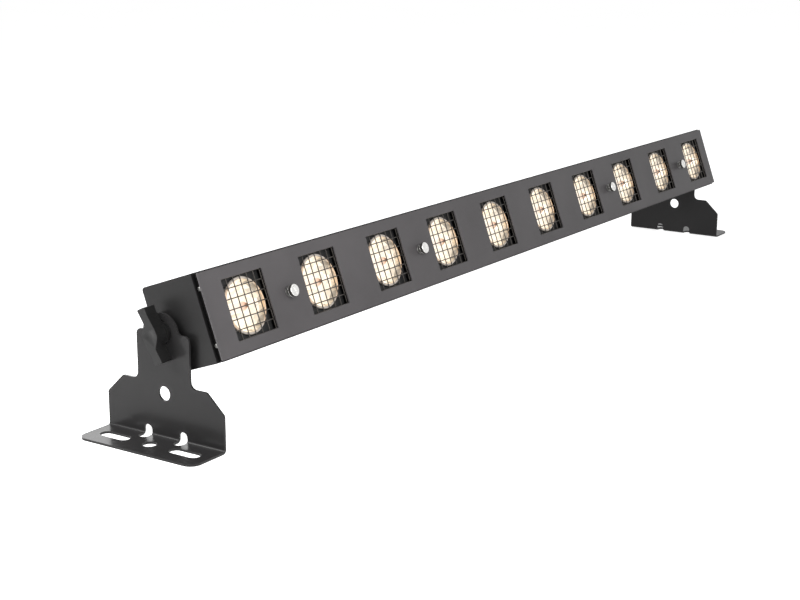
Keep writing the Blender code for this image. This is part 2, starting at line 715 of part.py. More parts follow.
def make_end_screws():
    """Small screws in the groove at each end, through the cap's lip into the carrier."""
    for side, word in ((-1.0, "left"), (1.0, "right")):
        profile = [
            (0.0, side * (SCREW_SEAT_X + SCREW_HEAD)),
            (0.6 * SCREW_HEAD_RADIUS, side * (SCREW_SEAT_X + SCREW_HEAD)),
            (SCREW_HEAD_RADIUS, side * (SCREW_SEAT_X + 0.4 * SCREW_HEAD)),
            (SCREW_HEAD_RADIUS, side * SCREW_SEAT_X),
            (SCREW_SHANK_RADIUS, side * SCREW_SEAT_X),
            (SCREW_SHANK_RADIUS, side * (SCREW_SEAT_X - SCREW_REACH)),
            (0.0, side * (SCREW_SEAT_X - SCREW_REACH)),
        ]
        mesh = turned(profile, 10, "X")
        for z, level in zip(screw_heights(), ("upper", "lower")):
            place(f"end_screw_{word}_{level}", mesh, NICKEL, HOUSING, (0.0, SCREW_Y, z), smooth=35)


def bracket_face():
    """Outline of a bracket's upright plate in Y and Z, from its right foot over the dome to its left foot."""
    lift = SHOULDER_RISE + DOME_FILLET
    reach = math.sqrt((DOME_RADIUS + DOME_FILLET) ** 2 - lift**2)
    slope = math.degrees(math.atan2(lift, reach))
    half = rounded(
        [
            (BRACKET_HALF_WIDTH, -CUT_PAST, 0.0),
            (BRACKET_HALF_WIDTH, BRACKET_SIDE_HEIGHT, BRACKET_CORNER),
            (STEP_HALF_WIDTH, STEP_HEIGHT, BRACKET_CORNER),
            (NECK_HALF_WIDTH, STEP_HEIGHT, NECK_FILLET),
            (NECK_HALF_WIDTH, SHOULDER_HEIGHT, SHOULDER_CORNER),
            (0.0, SHOULDER_HEIGHT, 0.0),
            (0.0, -CUT_PAST, 0.0),
        ]
    )[:-2]
    half += arc((reach, SHOULDER_HEIGHT + DOME_FILLET), DOME_FILLET, 270.0, 180.0 + slope, 3)
    dome = arc((0.0, PIVOT_HEIGHT), DOME_RADIUS, slope, 180.0 - slope, 12)
    return half + dome[1:-1] + [(-y, z) for y, z in reversed(half)]


def bracket_blank(side):
    """Sheet strip folded at the foot, wider than the bracket, with a round bend."""
    top = PIVOT_HEIGHT + DOME_RADIUS + CUT_PAST
    section = rounded(
        [
            (side * BRACKET_INNER_X, 0.0, BRACKET_BEND + BRACKET_SHEET),
            (side * FLANGE_END_X, 0.0, 0.0),
            (side * FLANGE_END_X, BRACKET_SHEET, 0.0),
            (side * BRACKET_OUTER_X, BRACKET_SHEET, BRACKET_BEND),
            (side * BRACKET_OUTER_X, top, 0.0),
            (side * BRACKET_INNER_X, top, 0.0),
        ]
    )
    return sheet(section, [], 2 * BRACKET_HALF_WIDTH + CUT_PAST, "XZ", (0.0, 0.0, 0.0))


def make_bracket(name, side):
    """Folded foot: an upright plate that carries the pivot and a slotted flange that turns outwards."""
    past_x = BRACKET_INNER_X - CUT_PAST
    face_x = side * (past_x + FLANGE_END_X + CUT_PAST) / 2
    face = sheet(bracket_face(), [], FLANGE_END_X + CUT_PAST - past_x, "YZ", (face_x, 0.0, 0.0))
    foot_outline = rounded(
        [
            (side * past_x, -BRACKET_HALF_WIDTH, 0.0),
            (side * FLANGE_END_X, -BRACKET_HALF_WIDTH, FLANGE_CORNER),
            (side * FLANGE_END_X, BRACKET_HALF_WIDTH, FLANGE_CORNER),
            (side * past_x, BRACKET_HALF_WIDTH, 0.0),
        ],
        5,
    )
    foot_height = 2 * (PIVOT_HEIGHT + DOME_RADIUS + CUT_PAST)
    foot = sheet(foot_outline, [], foot_height, "XY", (0.0, 0.0, 0.0))
    notch_half = NOTCH_WIDTH / 2
    plate_x = side * (BRACKET_INNER_X + BRACKET_OUTER_X) / 2
    plate_cut = 2 * (BRACKET_SHEET + BRACKET_BEND)
    flange_cut = 2 * (BRACKET_SHEET + BRACKET_BEND)
    plate_outlines = [
        circle((0.0, PIVOT_HEIGHT), PIVOT_HOLE_RADIUS, 16),
        circle((0.0, CLAMP_HOLE_HEIGHT), CLAMP_HOLE_RADIUS, 18),
    ]
    flange_outlines = [circle((side * FLANGE_MIDDLE_X, 0.0), FOOT_HOLE_RADIUS, 18)]
    for sign in (-1.0, 1.0):
        y = sign * NOTCH_OFFSET
        arch = arc((y, NOTCH_HEIGHT - notch_half), notch_half, 0.0, 180.0, 6)
        plate_outlines.append([(y - notch_half, -CUT_PAST), (y + notch_half, -CUT_PAST)] + arch)
        turn = 0.0 if side > 0 else 180.0
        tongue_x = side * (BRACKET_OUTER_X + NOTCH_REACH - notch_half)
        tongue = arc((tongue_x, y), notch_half, turn - 90.0, turn + 90.0, 6)
        tongue += [(side * BRACKET_OUTER_X, y + side * notch_half)]
        tongue += [(side * BRACKET_OUTER_X, y - side * notch_half)]
        flange_outlines.append(tongue)
        spot = (side * FLANGE_MIDDLE_X, sign * FOOT_SLOT_OFFSET)
        flange_outlines.append(slot(spot, FOOT_SLOT_LENGTH, FOOT_SLOT_WIDTH, 5))
    plate_holes = [sheet(outline, [], plate_cut, "YZ", (plate_x, 0.0, 0.0)) for outline in plate_outlines]
    flange_holes = [sheet(outline, [], flange_cut, "XY", (0.0, 0.0, 0.0)) for outline in flange_outlines]
    mesh = carve(
        bracket_blank(side),
        ("INTERSECT", face),
        ("INTERSECT", foot),
        ("DIFFERENCE", merged(*plate_holes)),
        ("DIFFERENCE", merged(*flange_holes)),
    )
    mesh.transform(Matrix.Translation((0.0, 0.0, -PIVOT_HEIGHT)))
    place(name, mesh, BRACKET_GREY, PIVOT)


def make_knob(name, side):
    """Two-winged tilt knob with its boss and threaded stud, on the pivot axis."""
    corners = [(side * across, up, radius) for across, up, radius in KNOB_HALF]
    corners += [(-across, -up, radius) for across, up, radius in corners]
    middle_x = side * (KNOB_WING_X + KNOB_THICKNESS / 2)
    wings = sheet(rounded(corners, 2), [], KNOB_THICKNESS, "YZ", (middle_x, 0.0, 0.0))
    stem = turned(
        [
            (0.0, side * (KNOB_WING_X + OVERLAP)),
            (KNOB_BOSS_RADIUS, side * (KNOB_WING_X + OVERLAP)),
            (KNOB_BOSS_RADIUS, side * KNOB_BACK_X),
            (STUD_RADIUS, side * KNOB_BACK_X),
            (STUD_RADIUS, side * STUD_TIP_X),
            (0.0, side * STUD_TIP_X),
        ],
        20,
        "X",
    )
    place(name, carve(wings, ("UNION", stem)), KNOB_BLACK, PIVOT, smooth=35)


def ring(outer, inner, thickness, sides, middle):
    """A flat washer across X."""
    return sheet(circle((0.0, 0.0), outer, sides), [circle((0.0, 0.0), inner, 16)], thickness, "YZ", middle)


def make_pivot_hardware():
    """Friction washer between cap and bracket, and the square weld nut behind the cap, at each end."""
    for side, word in ((-1.0, "left"), (1.0, "right")):
        middle_x = side * (HALF_LENGTH + CLEARANCE + WASHER_THICKNESS / 2)
        washer = ring(WASHER_RADIUS, PIVOT_HOLE_RADIUS, WASHER_THICKNESS, 24, (middle_x, 0.0, 0.0))
        place(f"friction_washer_{word}", washer, RUBBER, HOUSING, smooth=35)
        middle_x = side * (NUT_X - NUT_THICKNESS / 2)
        outline = rectangle((0.0, 0.0), NUT_WIDTH, NUT_WIDTH)
        bore = circle((0.0, 0.0), PIVOT_HOLE_RADIUS, 16)
        nut = sheet(outline, [bore], NUT_THICKNESS, "YZ", (middle_x, 0.0, 0.0))
        place(f"weld_nut_{word}", nut, NICKEL, HOUSING)


def rear_flange(width, height, x):
    """Flange plate of a rear fitting, on the outside of the back wall."""
    low = (x - width / 2, FITTING_Y, MIDDLE_Z - height / 2)
    return boxes((low, (x + width / 2, MOUTH_Y, MIDDLE_Z + height / 2)))


def make_mains_connectors():
    """Flanged mains inlet with three blades in a hollow, and the matching outlet with three slots."""
    half_x, half_z = MAINS_BODY_WIDTH / 2, MAINS_BODY_HEIGHT / 2
    blade_x, blade_z = BLADE_WIDTH / 2, BLADE_HEIGHT / 2
    for name, gap in (("mains_inlet", MAINS_IN_GAP), ("mains_outlet", MAINS_OUT_GAP)):
        x = gap_x(gap)
        low = (x - half_x, WALL_Y - MAINS_BODY_DEPTH, MIDDLE_Z - half_z)
        body = boxes((low, (x + half_x, FITTING_Y + OVERLAP, MIDDLE_Z + half_z)))
        flange = rear_flange(MAINS_BODY_WIDTH + 2 * MAINS_EAR, MAINS_BODY_HEIGHT + 2 * MAINS_LIP, x)
        if name == "mains_inlet":
            floor = MOUTH_Y - MAINS_CAVITY_DEPTH
            inner_x, inner_z = half_x - MAINS_WALL, half_z - MAINS_WALL
            low = (x - inner_x, floor, MIDDLE_Z - inner_z)
            cavity = boxes((low, (x + inner_x, MOUTH_Y + CUT_PAST, MIDDLE_Z + inner_z)))
            blades = []
            for dx, dz in BLADE_SPOTS:
                low = (x + dx - blade_x, floor - OVERLAP, MIDDLE_Z + dz - blade_z)
                blades.append((low, (x + dx + blade_x, floor + BLADE_LENGTH, MIDDLE_Z + dz + blade_z)))
            steps = (("UNION", flange), ("DIFFERENCE", cavity), ("UNION", boxes(*blades)))
        else:
            slots = []
            for dx, dz in BLADE_SPOTS:
                low_z, high_z = MIDDLE_Z + dz - blade_z - CLEARANCE, MIDDLE_Z + dz + blade_z + CLEARANCE
                low = (x + dx - blade_x - CLEARANCE, MOUTH_Y - BLADE_LENGTH, low_z)
                slots.append((low, (x + dx + blade_x + CLEARANCE, MOUTH_Y + CUT_PAST, high_z)))
            steps = (("UNION", flange), ("DIFFERENCE", boxes(*slots)))
        place(name, carve(body, *steps), PLASTIC_BLACK, HOUSING)


def make_data_connectors():
    """Round control sockets: three pins in a hollow on the input, three holes in a face on the output."""
    inner_y = WALL_Y - DATA_BODY_DEPTH
    spots = arc((0.0, 0.0), DATA_PIN_CIRCLE, 90.0, 330.0, 2)
    for name, gap in (("data_inlet", DATA_IN_GAP), ("data_outlet", DATA_OUT_GAP)):
        x = gap_x(gap)
        body = rods("Y", DATA_BODY_RADIUS, 20, ((x, inner_y, MIDDLE_Z), FITTING_Y + OVERLAP - inner_y))
        flange = rear_flange(DATA_FLANGE_WIDTH, DATA_FLANGE_HEIGHT, x)
        if name == "data_inlet":
            floor = MOUTH_Y - DATA_CAVITY_DEPTH
            opening = ((x, floor, MIDDLE_Z), DATA_CAVITY_DEPTH + CUT_PAST)
            cavity = rods("Y", DATA_BODY_RADIUS - DATA_WALL, 20, opening)
            pins = [((x + dx, floor - OVERLAP, MIDDLE_Z + dz), DATA_PIN_LENGTH + OVERLAP) for dx, dz in spots]
            pin_mesh = rods("Y", DATA_PIN_RADIUS, 8, *pins)
            steps = (("UNION", flange), ("DIFFERENCE", cavity), ("UNION", pin_mesh))
        else:
            start = MOUTH_Y - DATA_PIN_LENGTH
            holes = [((x + dx, start, MIDDLE_Z + dz), DATA_PIN_LENGTH + CUT_PAST) for dx, dz in spots]
            hole_mesh = rods("Y", DATA_PIN_RADIUS + CLEARANCE, 8, *holes)
            steps = (("UNION", flange), ("DIFFERENCE", hole_mesh))
        place(name, carve(body, *steps), PLASTIC_BLACK, HOUSING)


def make_fuse():
    """Fuse holder through the back wall, and the bayonet cap that turns in its bore."""
    holder = [
        (0.0, WALL_Y - FUSE_BODY_DEPTH),
        (FUSE_BODY_RADIUS, WALL_Y - FUSE_BODY_DEPTH),
        (FUSE_BODY_RADIUS, FITTING_Y),
        (FUSE_BODY_RADIUS + FUSE_LIP, FITTING_Y),
        (FUSE_BODY_RADIUS + FUSE_LIP, MOUTH_Y),
        (FUSE_BORE_RADIUS, MOUTH_Y),
        (FUSE_BORE_RADIUS, MOUTH_Y - FUSE_BORE_DEPTH),
        (0.0, MOUTH_Y - FUSE_BORE_DEPTH),
    ]
    spot = (gap_x(FUSE_GAP), 0.0, MIDDLE_Z)
    place("fuse_holder", turned(holder, 16, "Y", spot), PLASTIC_BLACK, HOUSING, smooth=35)
    stem_radius = FUSE_BORE_RADIUS - CLEARANCE
    cap_radius = FUSE_BORE_RADIUS + FUSE_CAP_LIP
    top_y = CLEARANCE + FUSE_CAP_HEIGHT
    cap = turned(
        [
            (0.0, CLEARANCE - FUSE_STEM_LENGTH),
            (stem_radius, CLEARANCE - FUSE_STEM_LENGTH),
            (stem_radius, CLEARANCE),
            (cap_radius, CLEARANCE),
            (cap_radius, top_y),
            (0.0, top_y),
        ],
        16,
        "Y",
    )
    grip_half = (cap_radius - FUSE_CAP_LIP, FUSE_GRIP_WIDTH / 2)
    grip_low = (-grip_half[0], top_y - OVERLAP, -grip_half[1])
    grip = boxes((grip_low, (grip_half[0], top_y + FUSE_GRIP_HEIGHT, grip_half[1])))
    spot = (gap_x(FUSE_GAP), MOUTH_Y, MIDDLE_Z)
    place("fuse_cap", carve(cap, ("UNION", grip)), PLASTIC_BLACK, HOUSING, spot, smooth=35)


def make_control_panel():
    """Display block behind the back wall, with a bore for each of the four buttons."""
    x = gap_x(CONTROL_GAP)
    seat_y = WALL_Y - CLEARANCE
    low = (x - CONTROL_WIDTH / 2, seat_y - CONTROL_DEPTH, MIDDLE_Z - CONTROL_HEIGHT / 2)
    body = boxes((low, (x + CONTROL_WIDTH / 2, seat_y, MIDDLE_Z + CONTROL_HEIGHT / 2)))
    z = MIDDLE_Z + DISPLAY_RISE
    low = (x - DISPLAY_WIDTH / 2, seat_y - OVERLAP, z - DISPLAY_HEIGHT / 2)
    screen = boxes((low, (x + DISPLAY_WIDTH / 2, BACK_Y + DISPLAY_PROUD, z + DISPLAY_HEIGHT / 2)))
    bores = [((bx, seat_y - BUTTON_BORE_DEPTH, BUTTON_Z), BUTTON_BORE_DEPTH + CUT_PAST) for bx in button_xs()]
    cutter = rods("Y", BUTTON_RADIUS + CLEARANCE, 12, *bores)
    place("control_panel", carve(body, ("UNION", screen), ("DIFFERENCE", cutter)), PLASTIC_BLACK, HOUSING)
    rest_y = seat_y - BUTTON_BORE_DEPTH + BUTTON_TRAVEL + CLEARANCE
    mesh = rods("Y", BUTTON_RADIUS, 12, ((0.0, 0.0, 0.0), BACK_Y + BUTTON_PROUD - rest_y))
    for index, bx in enumerate(button_xs(), 1):
        place(f"menu_button_{index}", mesh, BUTTON_GREY, HOUSING, (bx, rest_y, BUTTON_Z), smooth=35)


def make_board(name, x, blocks):
    """Circuit board on four standoffs. A block is (across, up, width, height, depth)."""
    half_x, half_z = BOARD_WIDTH / 2, BOARD_HEIGHT / 2
    low = (x - half_x, BOARD_Y, MIDDLE_Z - half_z)
    board = boxes((low, (x + half_x, BOARD_Y + BOARD_THICKNESS, MIDDLE_Z + half_z)))
    foot_y = BOARD_Y + BOARD_THICKNESS - OVERLAP
    feet = []
    inset_x, inset_z = half_x - STANDOFF_INSET, half_z - STANDOFF_INSET
    for side in (-1.0, 1.0):
        for level in (-1.0, 1.0):
            foot = (x + side * inset_x, foot_y, MIDDLE_Z + level * inset_z)
            feet.append((foot, STANDOFF_LENGTH + OVERLAP))
    spans = []
    for across, up, width, height, depth in blocks:
        low = (x + across - width / 2, BOARD_Y - depth, MIDDLE_Z + up - height / 2)
        spans.append((low, (x + across + width / 2, BOARD_Y + OVERLAP, MIDDLE_Z + up + height / 2)))
    mesh = carve(board, ("UNION", rods("Y", STANDOFF_RADIUS, 8, *feet)), ("UNION", boxes(*spans)))
    place(name, mesh, BOARD_GREEN, HOUSING)


def make_boards():
    """Dimmer board with a switch for each lamp and a heat sink, and the supply board for the controls."""
    room = BOARD_WIDTH - 2 * STANDOFF_INSET
    pitch = room / LAMP_COUNT
    upper, lower = BOARD_HEIGHT / 3, -BOARD_HEIGHT / 3
    middle = (LAMP_COUNT - 1) / 2
    blocks = [((k - middle) * pitch, 0.0, 0.7 * pitch, 0.0100, 0.0060) for k in range(LAMP_COUNT)]
    blocks += [(0.0, upper, room, 0.0080, 0.0140), (0.0, lower, room, 0.0100, 0.0080)]
    make_board("dimmer_board", gap_x(DIMMER_GAP), blocks)
    blocks = [
        (-room / 4, BOARD_HEIGHT / 8, 0.0240, 0.0260, 0.0150),
        (room / 4, upper, 0.0090, 0.0090, 0.0110),
        (room / 4, 0.0, 0.0090, 0.0090, 0.0110),
        (0.0, lower, room, 0.0100, 0.0080),
    ]
    make_board("supply_board", gap_x(SUPPLY_GAP), blocks)


def make_wiring():
    """Harness along the bottom of the channel, with a tail up to each lampholder."""
    first, last = lamp_x(1) - HARNESS_END, lamp_x(LAMP_COUNT) + HARNESS_END
    trunk = rods("X", HARNESS_RADIUS, 10, ((first, HARNESS_Y, HARNESS_Z), last - first))
    height = MIDDLE_Z - HOLDER_HEIGHT / 2 - CLEARANCE - HARNESS_Z
    tails = [((lamp_x(n), HARNESS_Y, HARNESS_Z), height) for n in lamp_numbers()]
    mesh = carve(trunk, ("UNION", rods("Z", TAIL_RADIUS, 6, *tails)))
    place("wiring_harness", mesh, RUBBER, HOUSING)


clear_scene()
PARTS = new_collection("strip_light")
CUTTERS = new_collection("cutters")

PANEL_GREY = finish("panel_grey", (0.135, 0.132, 0.136), 0.55)
CASE_GREY = finish("case_grey", (0.070, 0.067, 0.067), 0.55)
CARRIER_GREY = finish("carrier_grey", (0.030, 0.030, 0.031), 0.60)
BRACKET_GREY = finish("bracket_grey", (0.085, 0.082, 0.083), 0.50)
GUARD_BLACK = finish("guard_black", (0.020, 0.019, 0.018), 0.50, 0.6)
KNOB_BLACK = finish("knob_black", (0.040, 0.039, 0.040), 0.50)
PLASTIC_BLACK = finish("plastic_black", (0.015, 0.015, 0.016), 0.45)
BUTTON_GREY = finish("button_grey", (0.200, 0.200, 0.205), 0.50)
RUBBER = finish("rubber", (0.012, 0.012, 0.012), 0.80)
NICKEL = finish("nickel", (0.700, 0.690, 0.670), 0.25, 1.0)
LAMP_GLASS = finish("lamp_glass", (0.950, 0.850, 0.650), 0.15)
CERAMIC = finish("ceramic", (0.780, 0.760, 0.700), 0.60)
BOARD_GREEN = finish("board_green", (0.020, 0.110, 0.040), 0.50)

PIVOT = bpy.data.objects.new("pivot", None)
PARTS.objects.link(PIVOT)
PIVOT.location = (0.0, 0.0, PIVOT_HEIGHT)
HOUSING = bpy.data.objects.new("housing_tilt", None)
PARTS.objects.link(HOUSING)
HOUSING.parent = PIVOT
HOUSING.rotation_euler = (-TILT, 0.0, 0.0)

make_front_panel()
make_guards()
make_housing_channel()
make_end_cap("end_cap_left", -1.0)
make_end_cap("end_cap_right", 1.0)
make_lamp_carrier()
make_lamps()
make_lampholders()
make_thumbscrews()
make_end_screws()
make_bracket("bracket_left", -1.0)
make_bracket("bracket_right", 1.0)
make_knob("tilt_knob_left", -1.0)
make_knob("tilt_knob_right", 1.0)
make_pivot_hardware()
make_mains_connectors()
make_data_connectors()
make_fuse()
make_control_panel()
make_boards()
make_wiring()
bpy.context.view_layer.update()
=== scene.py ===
"""Dressed model of a ten-lamp strip light that hangs between two slotted feet.

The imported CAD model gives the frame. Each sub-assembly below is a class that holds its own sizes in
metres, builds its meshes and dresses them. Pieces of the housing are drawn untilted about the pivot
axis, with X along the bar, Y towards the back and Z up, and one matrix tilts them into place.
"""

import json
import logging
import math
import random
from dataclasses import dataclass, field
from enum import Enum
from functools import cached_property
from typing import Iterable, Optional, Sequence, Union

import bmesh
import bpy
from mathutils import Matrix, Vector


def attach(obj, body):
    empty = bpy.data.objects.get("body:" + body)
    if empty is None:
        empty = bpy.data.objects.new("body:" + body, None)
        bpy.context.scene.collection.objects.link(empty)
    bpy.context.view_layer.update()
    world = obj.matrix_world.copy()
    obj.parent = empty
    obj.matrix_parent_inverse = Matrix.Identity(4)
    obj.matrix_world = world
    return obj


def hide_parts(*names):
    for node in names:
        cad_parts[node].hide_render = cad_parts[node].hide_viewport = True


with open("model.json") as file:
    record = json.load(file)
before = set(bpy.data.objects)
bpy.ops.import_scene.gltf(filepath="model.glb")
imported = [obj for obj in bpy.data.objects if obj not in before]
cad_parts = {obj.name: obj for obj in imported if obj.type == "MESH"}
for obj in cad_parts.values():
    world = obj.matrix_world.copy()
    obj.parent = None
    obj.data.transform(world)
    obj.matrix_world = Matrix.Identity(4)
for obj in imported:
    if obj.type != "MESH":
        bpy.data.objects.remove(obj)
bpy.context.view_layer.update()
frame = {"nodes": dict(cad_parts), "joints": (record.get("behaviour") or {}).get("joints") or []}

LOG = logging.getLogger("strip_light")

Point = tuple[float, float]
Triple = tuple[float, float, float]
Color = tuple[float, float, float]
Mesh = bpy.types.Mesh
Thing = bpy.types.Object

CENTER = (0.0, 0.0)
ORIGIN = (0.0, 0.0, 0.0)
BLACK = (0.0, 0.0, 0.0)
WHITE = (1.0, 1.0, 1.0)
BOTH_WAYS = (-1.0, 1.0)
SAME_POINT = 1e-6
ON_AXIS = 1e-7


class Plane(Enum):
    """The plane that a flat outline lies in. Its thickness runs along the axis that is left."""

    XY = ((1, 0, 0), (0, 1, 0), (0, 0, 1))
    XZ = ((1, 0, 0), (0, 0, -1), (0, 1, 0))
    YZ = ((0, 0, 1), (1, 0, 0), (0, 1, 0))

    @property
    def matrix(self) -> Matrix:
        """Turn from the outline's own plane into this one."""
        return Matrix(self.value).to_4x4()


class Axis(Enum):
    """The axis that a turned shape or a rod runs along."""

    X = (math.pi / 2, "Y")
    Y = (-math.pi / 2, "X")
    Z = (0.0, "Z")

    @property
    def matrix(self) -> Matrix:
        """Turn from the Z axis to this one."""
        angle, around = self.value
        return Matrix.Rotation(angle, 4, around)


class Worded(Enum):
    """A choice that takes part in the names of nodes and pieces."""

    @property
    def word(self) -> str:
        """The word for it in such a name."""
        return self.name.lower()


class Side(Worded):
    """One end of the bar, as the sign of X there."""

    LEFT = -1.0
    RIGHT = 1.0


class Level(Worded):
    """The upper or the lower of two screws, as the sign of its height over the middle."""

    UPPER = 1.0
    LOWER = -1.0


class Cut(Enum):
    """What a Boolean step does with its tool."""

    AWAY = "DIFFERENCE"
    TOGETHER = "UNION"
    WITHIN = "INTERSECT"


class Sum(Enum):
    """What a Math node works out."""

    SIZE = "ABSOLUTE"
    SHARE = "DIVIDE"
    TIMES = "MULTIPLY"
    LARGER = "MAXIMUM"


class Ray(Enum):
    """A kind of light path that the background treats in its own way."""

    CAMERA = "Is Camera Ray"
    GLOSSY = "Is Glossy Ray"
    TRANSMISSION = "Is Transmission Ray"


# Outlines


def arc(center: Point, radius: float, start: float, end: float, steps: int) -> list[Point]:
    """Points on a circle from one angle to another, both in degrees, over a number of chords."""
    turns = (math.radians(start + (end - start) * i / steps) for i in range(steps + 1))
    return [(center[0] + radius * math.cos(turn), center[1] + radius * math.sin(turn)) for turn in turns]


def circle(center: Point, radius: float, sides: int = 32) -> list[Point]:
    """A closed circle with the given number of sides."""
    return arc(center, radius, 0.0, 360.0, sides)[:-1]


def rectangle(center: Point, width: float, height: float, corner: float = 0.0) -> list[Point]:
    """A closed rectangle about a middle, with round corners if they have a radius."""
    (x, y), w, h, r = center, width / 2, height / 2, corner
    return rounded([(x - w, y - h, r), (x + w, y - h, r), (x + w, y + h, r), (x - w, y + h, r)])


def slot_outline(center: Point, length: float, width: float, steps: int = 10) -> list[Point]:
    """A closed slot along the outline's Y, with round ends.

    Args:
        center: Its middle.
        length: Its length over the round ends.
        width: Its width.
        steps: Chords in each end.

    Returns:
        The outline's points.
    """
    reach = (length - width) / 2
    top = arc((center[0], center[1] + reach), width / 2, 0.0, 180.0, steps)
    return top + arc((center[0], center[1] - reach), width / 2, 180.0, 360.0, steps)


def toothed(radius: float, depth: float, teeth: int) -> list[Point]:
    """A closed circle with small teeth all round, each as deep as given below the radius."""
    rays = ((math.tau * k / (2 * teeth), radius - (depth if k % 2 else 0.0)) for k in range(2 * teeth))
    return [(reach * math.cos(angle), reach * math.sin(angle)) for angle, reach in rays]


def rounded(corners: Sequence[Triple], steps: int = 6) -> list[Point]:
    """A closed outline whose corners are rounded, each by its own radius.

    Args:
        corners: X, Y and radius of each corner.
        steps: Chords in each rounding.

    Returns:
        The outline's points.
    """
    found: list[Point] = []
    for i, (x, y, radius) in enumerate(corners):
        here = Vector((x, y))
        if radius <= 0.0:
            found.append((x, y))
            continue
        before = (Vector(corners[i - 1][:2]) - here).normalized()
        after = (Vector(corners[(i + 1) % len(corners)][:2]) - here).normalized()
        half = before.angle(after) / 2
        center = here + (before + after).normalized() * (radius / math.sin(half))
        first = here + before * (radius / math.tan(half)) - center
        turn = math.pi - 2 * half
        sign = 1.0 if before.x * after.y - before.y * after.x < 0.0 else -1.0
        for k in range(steps + 1):
            cos, sin = math.cos(sign * turn * k / steps), math.sin(sign * turn * k / steps)
            found.append((center.x + first.x * cos - first.y * sin, center.y + first.x * sin + first.y * cos))
    return found


# Meshes


def linked(name: str, data: bpy.types.ID) -> Thing:
    """A new object in the scene that holds a mesh, a curve, a lamp or a camera.

    Args:
        name: Name of the object.
        data: What it holds.

    Returns:
        The object.
    """
    item = bpy.data.objects.new(name, data)
    bpy.context.scene.collection.objects.link(item)
    return item


def written(work: bmesh.types.BMesh, name: str) -> Mesh:
    """A new mesh from a working mesh, which goes away.

    Args:
        work: The working mesh.
        name: Name of the new one.

    Returns:
        The new mesh.
    """
    mesh = bpy.data.meshes.new(name)
    work.to_mesh(mesh)
    work.free()
    return mesh


def evaluated(item: Thing) -> Mesh:
    """The mesh of an object with its modifiers applied.

    Args:
        item: The object, which goes away.

    Returns:
        Its mesh, without materials.
    """
    bpy.context.view_layer.update()
    graph = bpy.context.evaluated_depsgraph_get()
    mesh = bpy.data.meshes.new_from_object(item.evaluated_get(graph))
    mesh.materials.clear()
    bpy.data.objects.remove(item, do_unlink=True)
    return mesh


def tidied(mesh: Mesh) -> Mesh:
    """Join a mesh's doubled points and turn its faces outwards.

    Args:
        mesh: The mesh, which is changed in place.

    Returns:
        The same mesh.
    """
    work = bmesh.new()
    work.from_mesh(mesh)
    bmesh.ops.remove_doubles(work, verts=work.verts, dist=SAME_POINT)
    bmesh.ops.recalc_face_normals(work, faces=work.faces)
    work.to_mesh(mesh)
    work.free()
    return mesh


def extruded(
    outline: Sequence[Point],
    thickness: float,
    plane: Plane,
    middle: Triple = ORIGIN,
    holes: Iterable[Sequence[Point]] = (),
) -> Mesh:
    """A flat outline given a thickness.

    Args:
        outline: Its outer edge.
        thickness: Size across the plane.
        plane: The plane it lies in.
        middle: Where the outline's own origin goes, at half the thickness.
        holes: Closed outlines left open in it.

    Returns:
        A closed mesh.
    """
    curve = bpy.data.curves.new("outline", "CURVE")
    curve.dimensions = "2D"
    curve.fill_mode = "BOTH"
    curve.extrude = thickness / 2
    for points in [outline, *holes]:
        spline = curve.splines.new("POLY")
        spline.points.add(len(points) - 1)
        for point, (across, up) in zip(spline.points, points):
            point.co = (across, up, 0.0, 1.0)
        spline.use_cyclic_u = True
    mesh = evaluated(linked("outline", curve))
    mesh.transform(Matrix.Translation(middle) @ plane.matrix)
    return tidied(mesh)


def turned(profile: Sequence[Point], sides: int, axis: Axis, middle: Triple = ORIGIN) -> Mesh:
    """A solid of revolution.

    Args:
        profile: Radius and distance along the axis, from one point on the axis to another.
        sides: Faces around the axis.
        axis: The axis it is turned about.
        middle: Where the profile's origin goes.

    Returns:
        A closed mesh.
    """
    work = bmesh.new()
    rings = []
    for radius, along in profile:
        if radius <= ON_AXIS:
            rings.append([work.verts.new((0.0, 0.0, along))])
            continue
        angles = [math.tau * k / sides for k in range(sides)]
        rings.append([work.verts.new((radius * math.cos(a), radius * math.sin(a), along)) for a in angles])
    for low, high in zip(rings, rings[1:]):
        for k in range(sides):
            after = (k + 1) % sides
            if len(low) == 1 and len(high) == 1:
                continue
            if len(low) == 1:
                work.faces.new((low[0], high[k], high[after]))
            elif len(high) == 1:
                work.faces.new((low[k], low[after], high[0]))
            else:
                work.faces.new((low[k], low[after], high[after], high[k]))
    mesh = written(work, "turned")
    mesh.transform(Matrix.Translation(middle) @ axis.matrix)
    return tidied(mesh)


def rod(start: Triple, length: float, radius: float, axis: Axis, sides: int = 12) -> Mesh:
    """A straight rod."""
    return turned([(0.0, 0.0), (radius, 0.0), (radius, length), (0.0, length)], sides, axis, start)


def block(low: Triple, high: Triple) -> Mesh:
    """A box.

    Args:
        low: Its corner with the lowest X, Y and Z.
        high: The corner across from it.

    Returns:
        A closed mesh.
    """
    work = bmesh.new()
    for vert in bmesh.ops.create_cube(work, size=1.0)["verts"]:
        vert.co = Vector(low[i] + (high[i] - low[i]) * (vert.co[i] + 0.5) for i in range(3))
    return written(work, "block")


def slab(x: float, z: float, width: float, height: float, low_y: float, high_y: float) -> Mesh:
    """A box about a spot on the back wall, between two distances along Y."""
    return block((x - width / 2, low_y, z - height / 2), (x + width / 2, high_y, z + height / 2))


def joined(meshes: Iterable[Mesh]) -> Mesh:
    """One mesh that holds several.

    Args:
        meshes: The meshes, in order.

    Returns:
        The new mesh.
    """
    work = bmesh.new()
    for mesh in meshes:
        work.from_mesh(mesh)
    return written(work, "joined")


